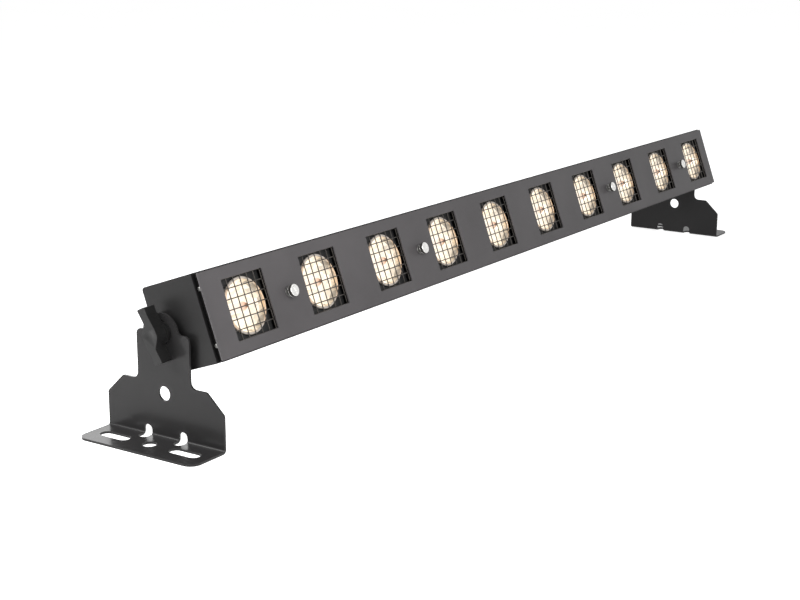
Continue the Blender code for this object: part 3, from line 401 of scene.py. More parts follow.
def carved(mesh: Mesh, *steps: tuple[Cut, Mesh]) -> Mesh:
    """A mesh after Boolean steps.

    Args:
        mesh: The mesh to start from.
        *steps: What each step does, and the mesh that it uses.

    Returns:
        The carved mesh.
    """
    item = linked("carved", mesh)
    tools = []
    for kind, shape in steps:
        tool = linked("tool", shape)
        boolean = item.modifiers.new("step", "BOOLEAN")
        boolean.operation = kind.value
        boolean.solver = "EXACT"
        boolean.object = tool
        tools.append(tool)
    result = evaluated(item)
    for tool in tools:
        bpy.data.objects.remove(tool, do_unlink=True)
    return tidied(result)


def cross_cuts(
    low: float, high: float, width: float, reach: float, axis: Axis
) -> list[tuple[Cut, Mesh]]:
    """The two steps that cut a cross recess.

    Args:
        low: Where the recess starts along the axis.
        high: Where it ends.
        width: Width of its bars.
        reach: Half of their length.
        axis: The screw's axis, X or Y.

    Returns:
        A step for each bar.
    """
    cuts = []
    for across, up in ((width / 2, reach), (reach, width / 2)):
        if axis is Axis.X:
            bar = block((low, -across, -up), (high, across, up))
        else:
            bar = block((-across, low, -up), (across, high, up))
        cuts.append((Cut.AWAY, bar))
    return cuts


# Finishes

Socket = bpy.types.NodeSocket
NOISE_LOW = 0.3
NOISE_HIGH = 0.7
FACET_TONE = "facet_tone"


class Nodes:
    """Short calls for the nodes of a material or a world."""

    def __init__(self, owner: Union[bpy.types.Material, bpy.types.World]) -> None:
        """Take over a node tree.

        Args:
            owner: The material or world, with just the shader that Blender gives it.
        """
        owner.use_nodes = True
        self.tree = owner.node_tree
        self.shader = self.tree.nodes.get("Principled BSDF") or self.tree.nodes["Background"]

    @cached_property
    def place(self) -> Socket:
        """Each point's place in the piece's own frame."""
        return self.add("TexCoord").outputs["Object"]

    def add(self, kind: str, inputs: Optional[dict] = None, **settings: object) -> bpy.types.Node:
        """Add a node.

        Args:
            kind: Its type, without the prefix that all shader nodes have.
            inputs: For each input by name or number, the socket or the constant that goes into it.
            **settings: Properties of the node itself.

        Returns:
            The node.
        """
        node = self.tree.nodes.new(f"ShaderNode{kind}")
        for key, value in settings.items():
            setattr(node, key, value)
        for key, value in (inputs or {}).items():
            self.feed(node.inputs[key], value)
        return node

    def feed(self, target: Socket, value: object) -> None:
        """Give an input what goes into it.

        Args:
            target: The input.
            value: A socket to link, or a constant.
        """
        if isinstance(value, Socket):
            self.tree.links.new(value, target)
        else:
            target.default_value = value

    def surface(self, **values: object) -> None:
        """Feed the shader's own inputs, with underscores for the spaces in their names."""
        for key, value in values.items():
            self.feed(self.shader.inputs[key.replace("_", " ")], value)

    def coordinates(self) -> bpy.types.bpy_prop_collection:
        """The outputs X, Y and Z of each point's place."""
        return self.add("SeparateXYZ", {"Vector": self.place}).outputs

    def worked(self, sum_kind: Sum, first: Socket, second: Union[Socket, float] = 0.0) -> Socket:
        """What a Math node makes of one or two values."""
        return self.add("Math", {0: first, 1: second}, operation=sum_kind.value).outputs["Value"]

    def noise(self, scale: float, detail: float = 2.0, stretch: Triple = (1.0, 1.0, 1.0)) -> Socket:
        """Cloudy noise with so many features per metre, finer along an axis whose stretch is above 1."""
        spot = self.add("Mapping", {"Vector": self.place, "Scale": stretch}).outputs["Vector"]
        return self.add("TexNoise", {"Vector": spot, "Scale": scale, "Detail": detail}).outputs["Fac"]

    def spread(self, value: Socket, start: float, end: float, low: float = 0.0, high: float = 1.0) -> Socket:
        """A value carried from one span to another."""
        span = {"From Min": start, "From Max": end, "To Min": low, "To Max": high}
        return self.add("MapRange", {"Value": value, **span}).outputs["Result"]

    def varied(self, noise: Socket, middle: float, change: Point) -> Socket:
        """A number that noise moves down and up by the two given changes."""
        return self.spread(noise, NOISE_LOW, NOISE_HIGH, middle + change[0], middle + change[1])

    def shades(self, value: Socket, *stops: tuple[float, Color]) -> Socket:
        """Colours along a value.

        Args:
            value: Where along the stops each point is.
            *stops: Position and colour, in rising order.

        Returns:
            The colour.
        """
        node = self.add("ValToRGB", {"Fac": value})
        ramp = node.color_ramp.elements
        while len(ramp) < len(stops):
            ramp.new(1.0)
        for element, (position, color) in zip(ramp, stops):
            element.position = position
            element.color = (*color, 1.0)
        return node.outputs["Color"]

    def mottled(self, noise: Socket, dark: Color, light: Color) -> Socket:
        """Two colours that noise mixes."""
        return self.shades(noise, (NOISE_LOW, dark), (NOISE_HIGH, light))

    def mixed(self, share: Union[Socket, float], first: Socket, second: Socket, blend: str = "MIX") -> Socket:
        """Two colours mixed."""
        inputs = {"Factor": share, "A": first, "B": second}
        return self.add("Mix", inputs, data_type="RGBA", blend_type=blend).outputs["Result"]

    def bump(self, height: Socket, strength: float, distance: float) -> Socket:
        """The surface's direction where a height value raises it."""
        inputs = {"Strength": strength, "Distance": distance, "Height": height}
        return self.add("Bump", inputs).outputs["Normal"]

    def seen_by(self, *rays: Ray) -> Socket:
        """A value of 1 for some kinds of ray and 0 for the rest.

        Args:
            *rays: The kinds that get 1.

        Returns:
            The value.
        """
        path = self.add("LightPath")
        found = path.outputs[rays[0].value]
        for ray in rays[1:]:
            found = self.worked(Sum.LARGER, found, path.outputs[ray.value])
        return found


def shade(color: Color, factor: float) -> Color:
    """A colour made darker or lighter by a factor."""
    return tuple(min(channel * factor, 1.0) for channel in color)


@dataclass(frozen=True)
class Finish:
    """A finish that pieces share. Its material is made once, on first use."""

    name: str
    slot: str

    def material(self) -> bpy.types.Material:
        """Find the material of this finish, or make it.

        Returns:
            The material.
        """
        label = f"finish_{self.name}"
        known = bpy.data.materials.get(label)
        if known is None:
            known = bpy.data.materials.new(label)
            self.paint(Nodes(known))
        return known

    def paint(self, nodes: Nodes) -> None:
        """Lay out the nodes. Each kind of finish has its own."""
        raise NotImplementedError


@dataclass(frozen=True)
class PowderCoat(Finish):
    """Baked paint on sheet metal, with a fine orange-peel skin and faint clouding."""

    color: Color
    roughness: float
    gloss: float
    unevenness: Point = (-0.05, 0.05)
    grain: float = 900.0
    detail: float = 3.0
    peel: float = 0.25
    relief: float = 0.00008
    cloud: float = 14.0
    clouding: float = 0.10
    top: float = 0.0
    top_roughness: float = 0.15
    top_index: float = 1.36

    def paint(self, nodes: Nodes) -> None:
        """Lay out the paint.

        Args:
            nodes: The material's nodes.
        """
        cloud, skin = nodes.noise(self.cloud, self.detail), nodes.noise(self.grain, self.detail)
        dark, light = shade(self.color, 1.0 - self.clouding), shade(self.color, 1.0 + self.clouding)
        nodes.surface(
            Base_Color=nodes.mottled(cloud, dark, light),
            Roughness=nodes.varied(skin, self.roughness, self.unevenness),
            Normal=nodes.bump(skin, self.peel, self.relief),
            Specular_IOR_Level=self.gloss,
            Coat_Weight=self.top,
            Coat_Roughness=self.top_roughness,
            Coat_IOR=self.top_index,
        )


@dataclass(frozen=True)
class Moulded(Finish):
    """Moulded plastic or rubber, with a spark-eroded grain."""

    color: Color
    roughness: float
    unevenness: Point = (-0.06, 0.06)
    grain: float = 2200.0
    grain_depth: float = 0.35
    relief: float = 0.00006
    mottling: float = 0.15
    cloud: float = 60.0
    cloud_detail: float = 3.0
    gloss: float = 0.5

    def paint(self, nodes: Nodes) -> None:
        """Lay out the plastic.

        Args:
            nodes: The material's nodes.
        """
        grain, soft = nodes.noise(self.grain), nodes.noise(self.cloud, self.cloud_detail)
        dark, light = shade(self.color, 1.0 - self.mottling), shade(self.color, 1.0 + self.mottling)
        nodes.surface(
            Base_Color=nodes.mottled(grain, dark, light),
            Roughness=nodes.varied(soft, self.roughness, self.unevenness),
            Normal=nodes.bump(grain, self.grain_depth, self.relief),
            Specular_IOR_Level=self.gloss,
        )


@dataclass(frozen=True)
class Plated(Finish):
    """Plated or bare metal with fine tool lines across its axis and cloudy polish."""

    color: Color
    roughness: float = 0.22
    unevenness: Point = (-0.06, 0.08)
    line_scale: float = 900.0
    line_stretch: Triple = (1.0, 8.0, 1.0)
    line_depth: float = 0.2
    relief: float = 0.00004
    cloud: float = 120.0
    dullest: float = 0.88

    def paint(self, nodes: Nodes) -> None:
        """Lay out the metal.

        Args:
            nodes: The material's nodes.
        """
        lines = nodes.noise(self.line_scale, stretch=self.line_stretch)
        nodes.surface(
            Base_Color=nodes.mottled(nodes.noise(self.cloud), shade(self.color, self.dullest), self.color),
            Roughness=nodes.varied(lines, self.roughness, self.unevenness),
            Normal=nodes.bump(lines, self.line_depth, self.relief),
            Metallic=1.0,
        )


@dataclass(frozen=True)
class LitMirror(Finish):
    """Inside of a lit lamp: warm facets that get brighter towards the capsule, amber at its flanks."""

    root: Color = (0.82, 0.68, 0.55)
    root_at: float = 0.34
    heart: Color = (1.0, 0.95, 0.87)
    heart_at: float = 0.50
    middle: Color = (1.0, 0.90, 0.77)
    middle_at: float = 0.88
    rim: Color = (0.60, 0.50, 0.39)
    amber: Color = (0.74, 0.46, 0.21)
    amber_from: float = 0.0175
    amber_full: float = 0.0225
    reach: float = 0.0232
    strength: float = 1.16
    metal: Color = (0.30, 0.27, 0.23)
    metal_darkest: float = 0.8
    metallic: float = 0.6
    roughness: float = 0.14
    unevenness: Point = (0.0, 0.10)
    grime: float = 160.0

    def paint(self, nodes: Nodes) -> None:
        """Lay out the glow from the facets' own tone and the distance from the axis.

        Args:
            nodes: The material's nodes.
        """
        place = nodes.coordinates()
        flat = nodes.add("CombineXYZ", {"X": place["X"], "Z": place["Z"]})
        length = nodes.add("VectorMath", {0: flat.outputs["Vector"]}, operation="LENGTH")
        out = nodes.worked(Sum.SHARE, length.outputs["Value"], self.reach)
        stops = ((self.root_at, self.root), (self.heart_at, self.heart), (self.middle_at, self.middle))
        flank = nodes.spread(nodes.worked(Sum.SIZE, place["X"]), self.amber_from, self.amber_full)
        plain = nodes.shades(out, *stops, (1.0, self.rim))
        amber = nodes.shades(out, *stops, (1.0, self.amber))
        tone = nodes.add("Attribute", attribute_name=FACET_TONE).outputs["Color"]
        grime = nodes.noise(self.grime)
        nodes.surface(
            Emission_Color=nodes.mixed(1.0, nodes.mixed(flank, plain, amber), tone, "MULTIPLY"),
            Emission_Strength=self.strength,
            Base_Color=nodes.mottled(grime, shade(self.metal, self.metal_darkest), self.metal),
            Roughness=nodes.varied(grime, self.roughness, self.unevenness),
            Metallic=self.metallic,
        )


@dataclass(frozen=True)
class RimGlass(Finish):
    """Pressed glass of a lamp, cool at its back and glowing amber at the flanks of its front rim."""

    glass: Color = (0.34, 0.31, 0.28)
    glass_darkest: float = 0.8
    glow: Color = (0.80, 0.46, 0.19)
    glow_x: float = 0.0225
    faint: Color = (0.22, 0.19, 0.16)
    faint_x: float = 0.0130
    front_y: float = -0.0026
    fade_y: float = -0.0012
    strength: float = 0.70
    streaks: float = 500.0
    streak_depth: float = 0.2
    relief: float = 0.0001
    roughness: float = 0.10
    unevenness: Point = (0.0, 0.12)

    def paint(self, nodes: Nodes) -> None:
        """Lay out the glow along and across the lamp's axis.

        Args:
            nodes: The material's nodes.
        """
        place = nodes.coordinates()
        along = nodes.spread(place["Y"], self.front_y, self.fade_y)
        across = nodes.spread(nodes.worked(Sum.SIZE, place["X"]), self.glow_x, self.faint_x)
        front = nodes.shades(along, (0.0, WHITE), (1.0, BLACK))
        glow = nodes.shades(across, (0.0, self.glow), (1.0, self.faint))
        streaks = nodes.noise(self.streaks)
        nodes.surface(
            Emission_Color=nodes.mixed(1.0, front, glow, "MULTIPLY"),
            Emission_Strength=self.strength,
            Base_Color=nodes.mottled(streaks, shade(self.glass, self.glass_darkest), self.glass),
            Roughness=nodes.varied(streaks, self.roughness, self.unevenness),
            Normal=nodes.bump(streaks, self.streak_depth, self.relief),
        )


@dataclass(frozen=True)
class HotGlass(Finish):
    """The lit capsule: white-hot along its body, dark orange at its tip."""

    tip: Color = (0.17, 0.080, 0.042)
    tip_y: float = -0.0041
    tip_ends: float = 0.16
    tip_darkest: float = 0.4
    neck: Color = (0.74, 0.51, 0.37)
    neck_at: float = 0.30
    body: Color = (1.0, 0.91, 0.79)
    body_y: float = 0.0028
    strength: float = 1.08
    frost: float = 700.0
    roughness: float = 0.06
    unevenness: Point = (0.0, 0.10)

    def paint(self, nodes: Nodes) -> None:
        """Lay out the glow along the lamp's axis.

        Args:
            nodes: The material's nodes.
        """
        along = nodes.spread(nodes.coordinates()["Y"], self.tip_y, self.body_y)
        frost = nodes.noise(self.frost)
        stops = ((self.tip_ends, self.tip), (self.neck_at, self.neck), (1.0, self.body))
        nodes.surface(
            Emission_Color=nodes.shades(along, *stops),
            Emission_Strength=self.strength,
            Base_Color=nodes.mottled(frost, shade(self.tip, self.tip_darkest), self.tip),
            Roughness=nodes.varied(frost, self.roughness, self.unevenness),
        )


@dataclass(frozen=True)
class Segments(Finish):
    """Segments of a display that is switched on at a low level, uneven as behind a diffuser."""

    color: Color = (0.55, 0.030, 0.015)
    darkest: float = 0.8
    strength: float = 0.55
    diffuser: float = 900.0
    diffuser_detail: float = 1.0
    roughness: float = 0.3
    unevenness: Point = (0.0, 0.1)

    def paint(self, nodes: Nodes) -> None:
        """Lay out the glow.

        Args:
            nodes: The material's nodes.
        """
        uneven = nodes.noise(self.diffuser, self.diffuser_detail)
        glow = nodes.mottled(uneven, shade(self.color, self.darkest), self.color)
        nodes.surface(
            Base_Color=glow,
            Emission_Color=glow,
            Emission_Strength=self.strength,
            Roughness=nodes.varied(uneven, self.roughness, self.unevenness),
        )


@dataclass(frozen=True)
class Laminate(Finish):
    """Circuit board with lighter tracks under its lacquer."""

    base: Color = (0.012, 0.075, 0.028)
    base_lightest: float = 1.3
    track: Color = (0.030, 0.150, 0.055)
    track_scale: float = 180.0
    track_width: float = 0.03
    lacquer: float = 90.0
    roughness: float = 0.25
    unevenness: Point = (0.0, 0.15)

    def paint(self, nodes: Nodes) -> None:
        """Lay out the tracks.

        Args:
            nodes: The material's nodes.
        """
        inputs = {
            "Vector": nodes.place,
            "Scale": self.track_scale,
            "Mortar Size": self.track_width,
            "Color1": (*self.base, 1.0),
            "Color2": (*shade(self.base, self.base_lightest), 1.0),
            "Mortar": (*self.track, 1.0),
        }
        nodes.surface(
            Base_Color=nodes.add("TexBrick", inputs).outputs["Color"],
            Roughness=nodes.varied(nodes.noise(self.lacquer), self.roughness, self.unevenness),
        )


class Palette:
    """Every finish on the strip light."""

    PANEL = PowderCoat(
        "panel_coat",
        "panel_grey",
        (0.075, 0.0705, 0.0725),
        roughness=0.42,
        gloss=0.05,
        top=0.38,
        top_roughness=0.20,
    )
    CASE = PowderCoat("case_coat", "case_grey", (0.0085, 0.0082, 0.0083), roughness=0.40, gloss=0.22)
    CARRIER = PowderCoat("carrier_coat", "carrier_grey", (0.018, 0.018, 0.018), roughness=0.5, gloss=0.3)
    # Painted shadow: the set-back lip is coloured near-black to stand for the shade in the groove between the
    # end cap and the panel.
    LIP = PowderCoat("lip_coat", "case_grey", (0.004, 0.004, 0.004), roughness=0.7, gloss=0.1)
    BRACKET = PowderCoat(
        "bracket_coat",
        "bracket_grey",
        (0.018, 0.0174, 0.0177),
        roughness=0.38,
        gloss=0.06,
        top=0.36,
        top_roughness=0.18,
    )
    KNOB = Moulded("knob_plastic", "knob_black", (0.0045, 0.0044, 0.0044), roughness=0.42, gloss=0.32)
    PLASTIC = Moulded("fitting_plastic", "plastic_black", (0.014, 0.014, 0.015), roughness=0.36)
    WINDOW = Moulded("display_window", "plastic_black", (0.020, 0.004, 0.004), roughness=0.12, relief=0.00001)
    BUTTON = Moulded("button_plastic", "button_grey", (0.16, 0.16, 0.165), roughness=0.45)
    RUBBER = Moulded("rubber", "rubber_black", (0.012, 0.012, 0.012), roughness=0.75, grain=1500.0)
    CERAMIC = Moulded("ceramic", "ceramic", (0.70, 0.68, 0.62), roughness=0.6, grain=1200.0)
    WIRE = Plated("guard_wire", "guard_black", (0.085, 0.078, 0.072), roughness=0.35)
    NICKEL = Plated("nickel", "nickel", (0.86, 0.85, 0.83))
    # Painted shade: the knurled band is the same nickel as the face and rim, coloured dark so that the head's
    # sides look shaded.
    KNURL = Plated("knurled_nickel_painted_shade", "nickel", (0.13, 0.126, 0.12), roughness=0.42)
    ZINC = Plated("zinc", "nickel", (0.19, 0.187, 0.18), roughness=0.42)
    BLADE = Plated("contact_nickel", "plastic_black", (0.80, 0.78, 0.74), roughness=0.25)
    GOLD = Plated("contact_gold", "plastic_black", (0.83, 0.60, 0.26))
    MIRROR = LitMirror("lamp_mirror", "lamp_glass")
    LAMP_BACK = RimGlass("lamp_rim", "lamp_glass")
    CAPSULE = HotGlass("lamp_capsule", "lamp_glass")
    DIGITS = Segments("display_segments", "plastic_black")
    BOARD = Laminate("board", "board_green")


# Pieces and places

HOUSING = "housing"
BEVEL_ANGLE = 40.0


@dataclass
class Piece:
    """One visible piece: its shape, its finish and the CAD body that it moves with."""

    name: str
    mesh: Mesh
    finish: Finish
    body: str = HOUSING
    stands_for: tuple[str, ...] = ()
    frame: Matrix = field(default_factory=Matrix)
    edge: float = 0.0
    edge_steps: int = 2
    smooth: Optional[float] = 35.0

    def place(self) -> Thing:
        """Put the piece in the scene.

        Returns:
            Its object, riding on its body.
        """
        item = linked(self.name, self.mesh)
        item.matrix_world = self.frame
        if not self.mesh.materials:
            self.mesh.materials.append(self.finish.material())
        if self.edge > 0.0:
            bevel = item.modifiers.new("edge", "BEVEL")
            bevel.width = self.edge
            bevel.segments = self.edge_steps
            bevel.limit_method = "ANGLE"
            bevel.angle_limit = math.radians(BEVEL_ANGLE)
            bevel.harden_normals = True
            self.mesh.shade_smooth()
        elif self.smooth is not None:
            self.mesh.shade_smooth()
            self.mesh.set_sharp_from_angle(angle=math.radians(self.smooth))
        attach(item, self.body)
        if self.stands_for:
            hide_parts(*self.stands_for)
        return item


@dataclass(frozen=True)
class Layout:
    """Sizes and places that several sub-assemblies share."""

    tilt: float
    pivot_height: float
    pivot_radius: float = 0.0043
    lamp_count: int = 10
    lamp_pitch: float = 0.1050
    row_shift: float = 0.0032
    lamp_seat_y: float = -0.0431
    window: float = 0.0536
    thumbscrew_gaps: tuple[int, ...] = (1, 3, 7, 9)
    face_y: float = -0.0502
    panel_sheet: float = 0.0012
    sheet: float = 0.0015
    bend: float = 0.0030
    wall_y: float = 0.0128
    back_y: float = 0.0143
    fitting_y: float = 0.0146
    mouth_y: float = 0.0166
    bottom_z: float = -0.0364
    top_z: float = 0.0402
    half_length: float = 0.5214
    end_screw_y: float = -0.04615
    end_screw_rise: float = 0.0243
    clearance: float = 0.0003
    overlap: float = 0.0005
    past: float = 0.0030

    @classmethod
    def from_frame(cls) -> "Layout":
        """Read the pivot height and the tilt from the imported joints.

        Returns:
            The layout.
        """
        joints = {joint["name"]: joint for joint in frame["joints"]}
        front = joints["thumbscrew_1_turn"]["axis"]
        height = joints["bracket_left_tilt"]["pos_m"][2]
        return cls(tilt=math.atan2(front[2], -front[1]), pivot_height=height)

    @property
    def housing(self) -> Matrix:
        """Turn and move from the untilted housing into place."""
        return self.pivot @ Matrix.Rotation(-self.tilt, 4, "X")

    @property
    def pivot(self) -> Matrix:
        """Move from the pivot axis into place, without the tilt."""
        return Matrix.Translation((0.0, 0.0, self.pivot_height))

    @property
    def middle_z(self) -> float:
        """Height of the row of lamps."""
        return (self.bottom_z + self.top_z) / 2

    @property
    def inner_y(self) -> float:
        """Where what stands behind the front panel starts."""
        return self.face_y + self.panel_sheet + self.clearance

    @property
    def lamps(self) -> range:
        """Numbers of the lamps, from 1 at the left end."""
        return range(1, self.lamp_count + 1)

    def lamp_x(self, number: int) -> float:
        """Centre of a lamp along the bar."""
        return (number - (self.lamp_count + 1) / 2) * self.lamp_pitch + self.row_shift

    def gap_x(self, number: int) -> float:
        """Middle of the gap after a lamp."""
        return self.lamp_x(number) + self.lamp_pitch / 2

    def spot(self, x: float, y: float, up: float = 0.0) -> Matrix:
        """Move from an origin on the row of lamps, or above it, into the tilted housing."""
        return self.housing @ Matrix.Translation((x, y, self.middle_z + up))

    def section(self, inset: float, front_y: float) -> list[Point]:
        """The housing's section across X.

        Args:
            inset: How far inside the outer skin it lies.
            front_y: Where it ends at the front.

        Returns:
            A closed outline with round corners at the back.
        """
        bend = max(self.bend - inset, 0.0)
        return rounded(
            [
                (front_y, self.bottom_z + inset, 0.0), (self.back_y - inset, self.bottom_z + inset, bend),
                (self.back_y - inset, self.top_z - inset, bend), (front_y, self.top_z - inset, 0.0),
            ]
        )


@dataclass
class Assembly:
    """A sub-assembly of the strip light."""

    layout: Layout

    def pieces(self) -> list[Piece]:
        """The sub-assembly's pieces, each dressed in its finish. Each kind has its own."""
        raise NotImplementedError

    def build(self) -> list[Thing]:
        """Build and dress the sub-assembly."""
        return [piece.place() for piece in self.pieces()]


# Front


@dataclass
class FrontPanel(Assembly):
    """Flat front sheet with a square window for each lamp and a hole for each thumbscrew."""

    height: float = 0.0744
    hole_radius: float = 0.0023
    hole_sides: int = 20
    corner: float = 0.0008
    edge: float = 0.00025

    def pieces(self) -> list[Piece]:
        """Cut the sheet.

        Returns:
            The panel.
        """
        lay = self.layout
        z = lay.middle_z
        outline = rectangle((0.0, z), 2 * lay.half_length, self.height, self.corner)
        holes = [rectangle((lay.lamp_x(n), z), lay.window, lay.window, self.corner) for n in lay.lamps]
        spots = [(lay.gap_x(gap), z) for gap in lay.thumbscrew_gaps]
        holes += [circle(spot, self.hole_radius, self.hole_sides) for spot in spots]
        middle = (0.0, lay.face_y + lay.panel_sheet / 2, 0.0)
        mesh = extruded(outline, lay.panel_sheet, Plane.XZ, middle, holes)
        nodes = ("front_panel",)
        return [Piece("panel_sheet", mesh, Palette.PANEL, HOUSING, nodes, lay.housing, self.edge)]


@dataclass
class WireGuard(Assembly):
    """Welded wire guard behind the panel, in two strips that meet in the middle of the bar."""

    cells: int = 6
    wire_radius: float = 0.00050
    wire_sides: int = 8
    end_x: float = 0.5115
    overhang: float = 0.0050
    sink: float = 0.00085

    def strip(self, numbers: Sequence[int], low_x: float, high_x: float) -> Mesh:
        """One strip of the guard.

        Args:
            numbers: The lamps in front of which it stands.
            low_x: Its left end.
            high_x: Its right end.

        Returns:
            Its wires as one mesh.
        """
        lay = self.layout
        cell = lay.window / self.cells
        lines = [(k - self.cells / 2) * cell for k in range(self.cells + 1)]
        front = lay.inner_y + self.wire_radius
        wires = []
        for up in lines:
            start = (low_x, front, lay.middle_z + up)
            wires.append(rod(start, high_x - low_x, self.wire_radius, Axis.X, self.wire_sides))
        reach = lay.window / 2 + self.overhang
        for number in numbers:
            for across in lines:
                start = (lay.lamp_x(number) + across, front + self.sink, lay.middle_z - reach)
                wires.append(rod(start, 2 * reach, self.wire_radius, Axis.Z, self.wire_sides))
        return joined(wires)

    def pieces(self) -> list[Piece]:
        """Weld both strips.

        Returns:
            The strips, left and right.
        """
        lay = self.layout
        half = lay.lamp_count // 2
        seam = lay.gap_x(half)
        made = []
        for side, numbers, low_x, high_x in (
            (Side.LEFT, lay.lamps[:half], -self.end_x, seam - lay.clearance),
            (Side.RIGHT, lay.lamps[half:], seam + lay.clearance, self.end_x),
        ):
            mesh = self.strip(numbers, low_x, high_x)
            name, nodes = f"guard_wires_{side.word}", (f"guard_{side.word}",)
            made.append(Piece(name, mesh, Palette.WIRE, stands_for=nodes, frame=lay.housing))
        return made


@dataclass
class LampBank(Assembly):
    """The ten lit reflector lamps: faceted mirror, glass back with neck and pins, and capsule."""

    rim_radius: float = 0.0252
    rim_thickness: float = 0.0026
    rim_round: float = 0.0006
    rim_chamfer: float = 0.0004
    lip_width: float = 0.0003
    bowl_radius: float = 0.0226
    bowl_depth: float = 0.0320
    bowl_curve: tuple[Point, ...] = ((1.0, 0.0), (0.97, 0.25), (0.85, 0.50), (0.63, 0.77))
    bowl_sides: int = 40
    neck_radius: float = 0.0082
    neck_length: float = 0.0065
    pin_width: float = 0.0016
    pin_length: float = 0.0065
    pin_spacing: float = 0.0053
    mirror_radius: float = 0.0232
    mirror_depth: float = 0.0210
    mirror_bottom: float = 0.0075
    mirror_inset: float = 0.0004
    rings: int = 7
    sectors: int = 24
    darkest: tuple[float, ...] = (0.20, 0.55, 0.66, 0.70)
    tone_warmth: float = 0.22
    capsule_radius: float = 0.0047
    capsule_tip: float = -0.0041
    capsule_curve: tuple[Point, ...] = (
        (0.0, 0.0), (0.26, 0.0003), (0.38, 0.0014), (0.66, 0.0026), (0.90, 0.0046), (1.0, 0.0070),
    )
    capsule_sides: int = 20
    capsule_smooth: float = 60.0
    seed: int = 7

    def mirror_profile(self) -> list[Point]:
        """The mirror's rings from the rim inwards, on a curve close to a parabola.

        Returns:
            Radius and depth of each ring.
        """
        found = []
        for k in range(self.rings + 1):
            radius = self.mirror_radius + (self.mirror_bottom - self.mirror_radius) * (k / self.rings)
            wide = (self.mirror_radius**2 - radius**2) / (self.mirror_radius**2 - self.mirror_bottom**2)
            found.append((radius, -self.rim_thickness + self.mirror_inset + wide * self.mirror_depth))
        return found

    def facets(self) -> Mesh:
        """The faceted inside of the reflector, without its tones.

        Returns:
            An open mesh, whose faces run from the rim inwards.
        """
        work = bmesh.new()
        rings = []
        for level, (radius, along) in enumerate(self.mirror_profile()):
            turn = 0.5 * (level % 2)
            angles = [math.tau * (k + turn) / self.sectors for k in range(self.sectors)]
            spots = [(radius * math.cos(angle), along, radius * math.sin(angle)) for angle in angles]
            rings.append([work.verts.new(spot) for spot in spots])
        for level, (outer, inner) in enumerate(zip(rings, rings[1:])):
            for k in range(self.sectors):
                after = (k + 1) % self.sectors
                if level % 2 == 0:
                    work.faces.new((outer[k], outer[after], inner[k]))
                    work.faces.new((outer[after], inner[after], inner[k]))
                else:
                    work.faces.new((outer[k], outer[after], inner[after]))
                    work.faces.new((outer[k], inner[after], inner[k]))
        floor = work.faces.new(rings[-1])
        bmesh.ops.recalc_face_normals(work, faces=work.faces)
        floor.normal_update()
        if floor.normal.y > 0.0:
            bmesh.ops.reverse_faces(work, faces=work.faces)
        return written(work, "mirror")

    def mirror(self) -> Mesh:
        """The facets, each with its own tone, darker towards the rim and some warmer than others.

        Returns:
            The mesh with its tones.
        """
        draw = random.Random(self.seed)
        mesh = self.facets()
        tones = mesh.color_attributes.new(FACET_TONE, "FLOAT_COLOR", "CORNER")
        for face in mesh.polygons:
            ring = min(face.index // (2 * self.sectors), len(self.darkest) - 1)
            tone = self.darkest[ring] + (1.0 - self.darkest[ring]) * draw.random()
            warmth = self.tone_warmth * draw.random()
            for corner in face.loop_indices:
                tones.data[corner].color = (tone, tone * (1.0 - warmth / 3), tone * (1.0 - warmth), 1.0)
        return mesh

    def back(self) -> Mesh:
        """The outside of the reflector with its rim, neck and two pins.

        Returns:
            The mesh.
        """
        seat = -self.rim_thickness
        back = self.bowl_depth + self.neck_length
        profile = [
            (self.mirror_radius, seat + self.mirror_inset), (self.mirror_radius + self.lip_width, seat),
            (self.rim_radius - self.rim_round, seat), (self.rim_radius, seat + self.rim_round),
            (self.rim_radius, -self.rim_chamfer), (self.rim_radius - self.rim_chamfer, 0.0),
            *((wide * self.bowl_radius, deep * self.bowl_depth) for wide, deep in self.bowl_curve),
            (self.neck_radius, self.bowl_depth), (self.neck_radius, back), (0.0, back),
        ]
        pins = []
        for way in BOTH_WAYS:
            x = way * self.pin_spacing / 2
            pins.append(slab(x, 0.0, self.pin_width, self.pin_width, back, back + self.pin_length))
        return joined([turned(profile, self.bowl_sides, Axis.Y), *pins])

    def capsule(self) -> Mesh:
        """The capsule in the middle of the mirror, with a pinched tip.

        Returns:
            A closed mesh.
        """
        radius, tip = self.capsule_radius, self.capsule_tip
        bottom = self.mirror_depth - self.rim_thickness - self.mirror_inset
        profile = [(share * radius, tip + along) for share, along in self.capsule_curve]
        return turned([*profile, (radius, bottom), (0.0, bottom)], self.capsule_sides, Axis.Y)

    def pieces(self) -> list[Piece]:
        """Make the three pieces of each lamp.

        Returns:
            The pieces, lamp by lamp.
        """
        lay = self.layout
        mirror, back, capsule = self.mirror(), self.back(), self.capsule()
        made = []
        for number in lay.lamps:
            spot = lay.spot(lay.lamp_x(number), lay.lamp_seat_y)
            name = f"lamp_{number:02d}"
            made += [
                Piece(f"{name}_back", back, Palette.LAMP_BACK, stands_for=(name,), frame=spot),
                Piece(f"{name}_mirror", mirror, Palette.MIRROR, frame=spot, smooth=None),
                Piece(f"{name}_capsule", capsule, Palette.CAPSULE, frame=spot, smooth=self.capsule_smooth),
            ]
        return made


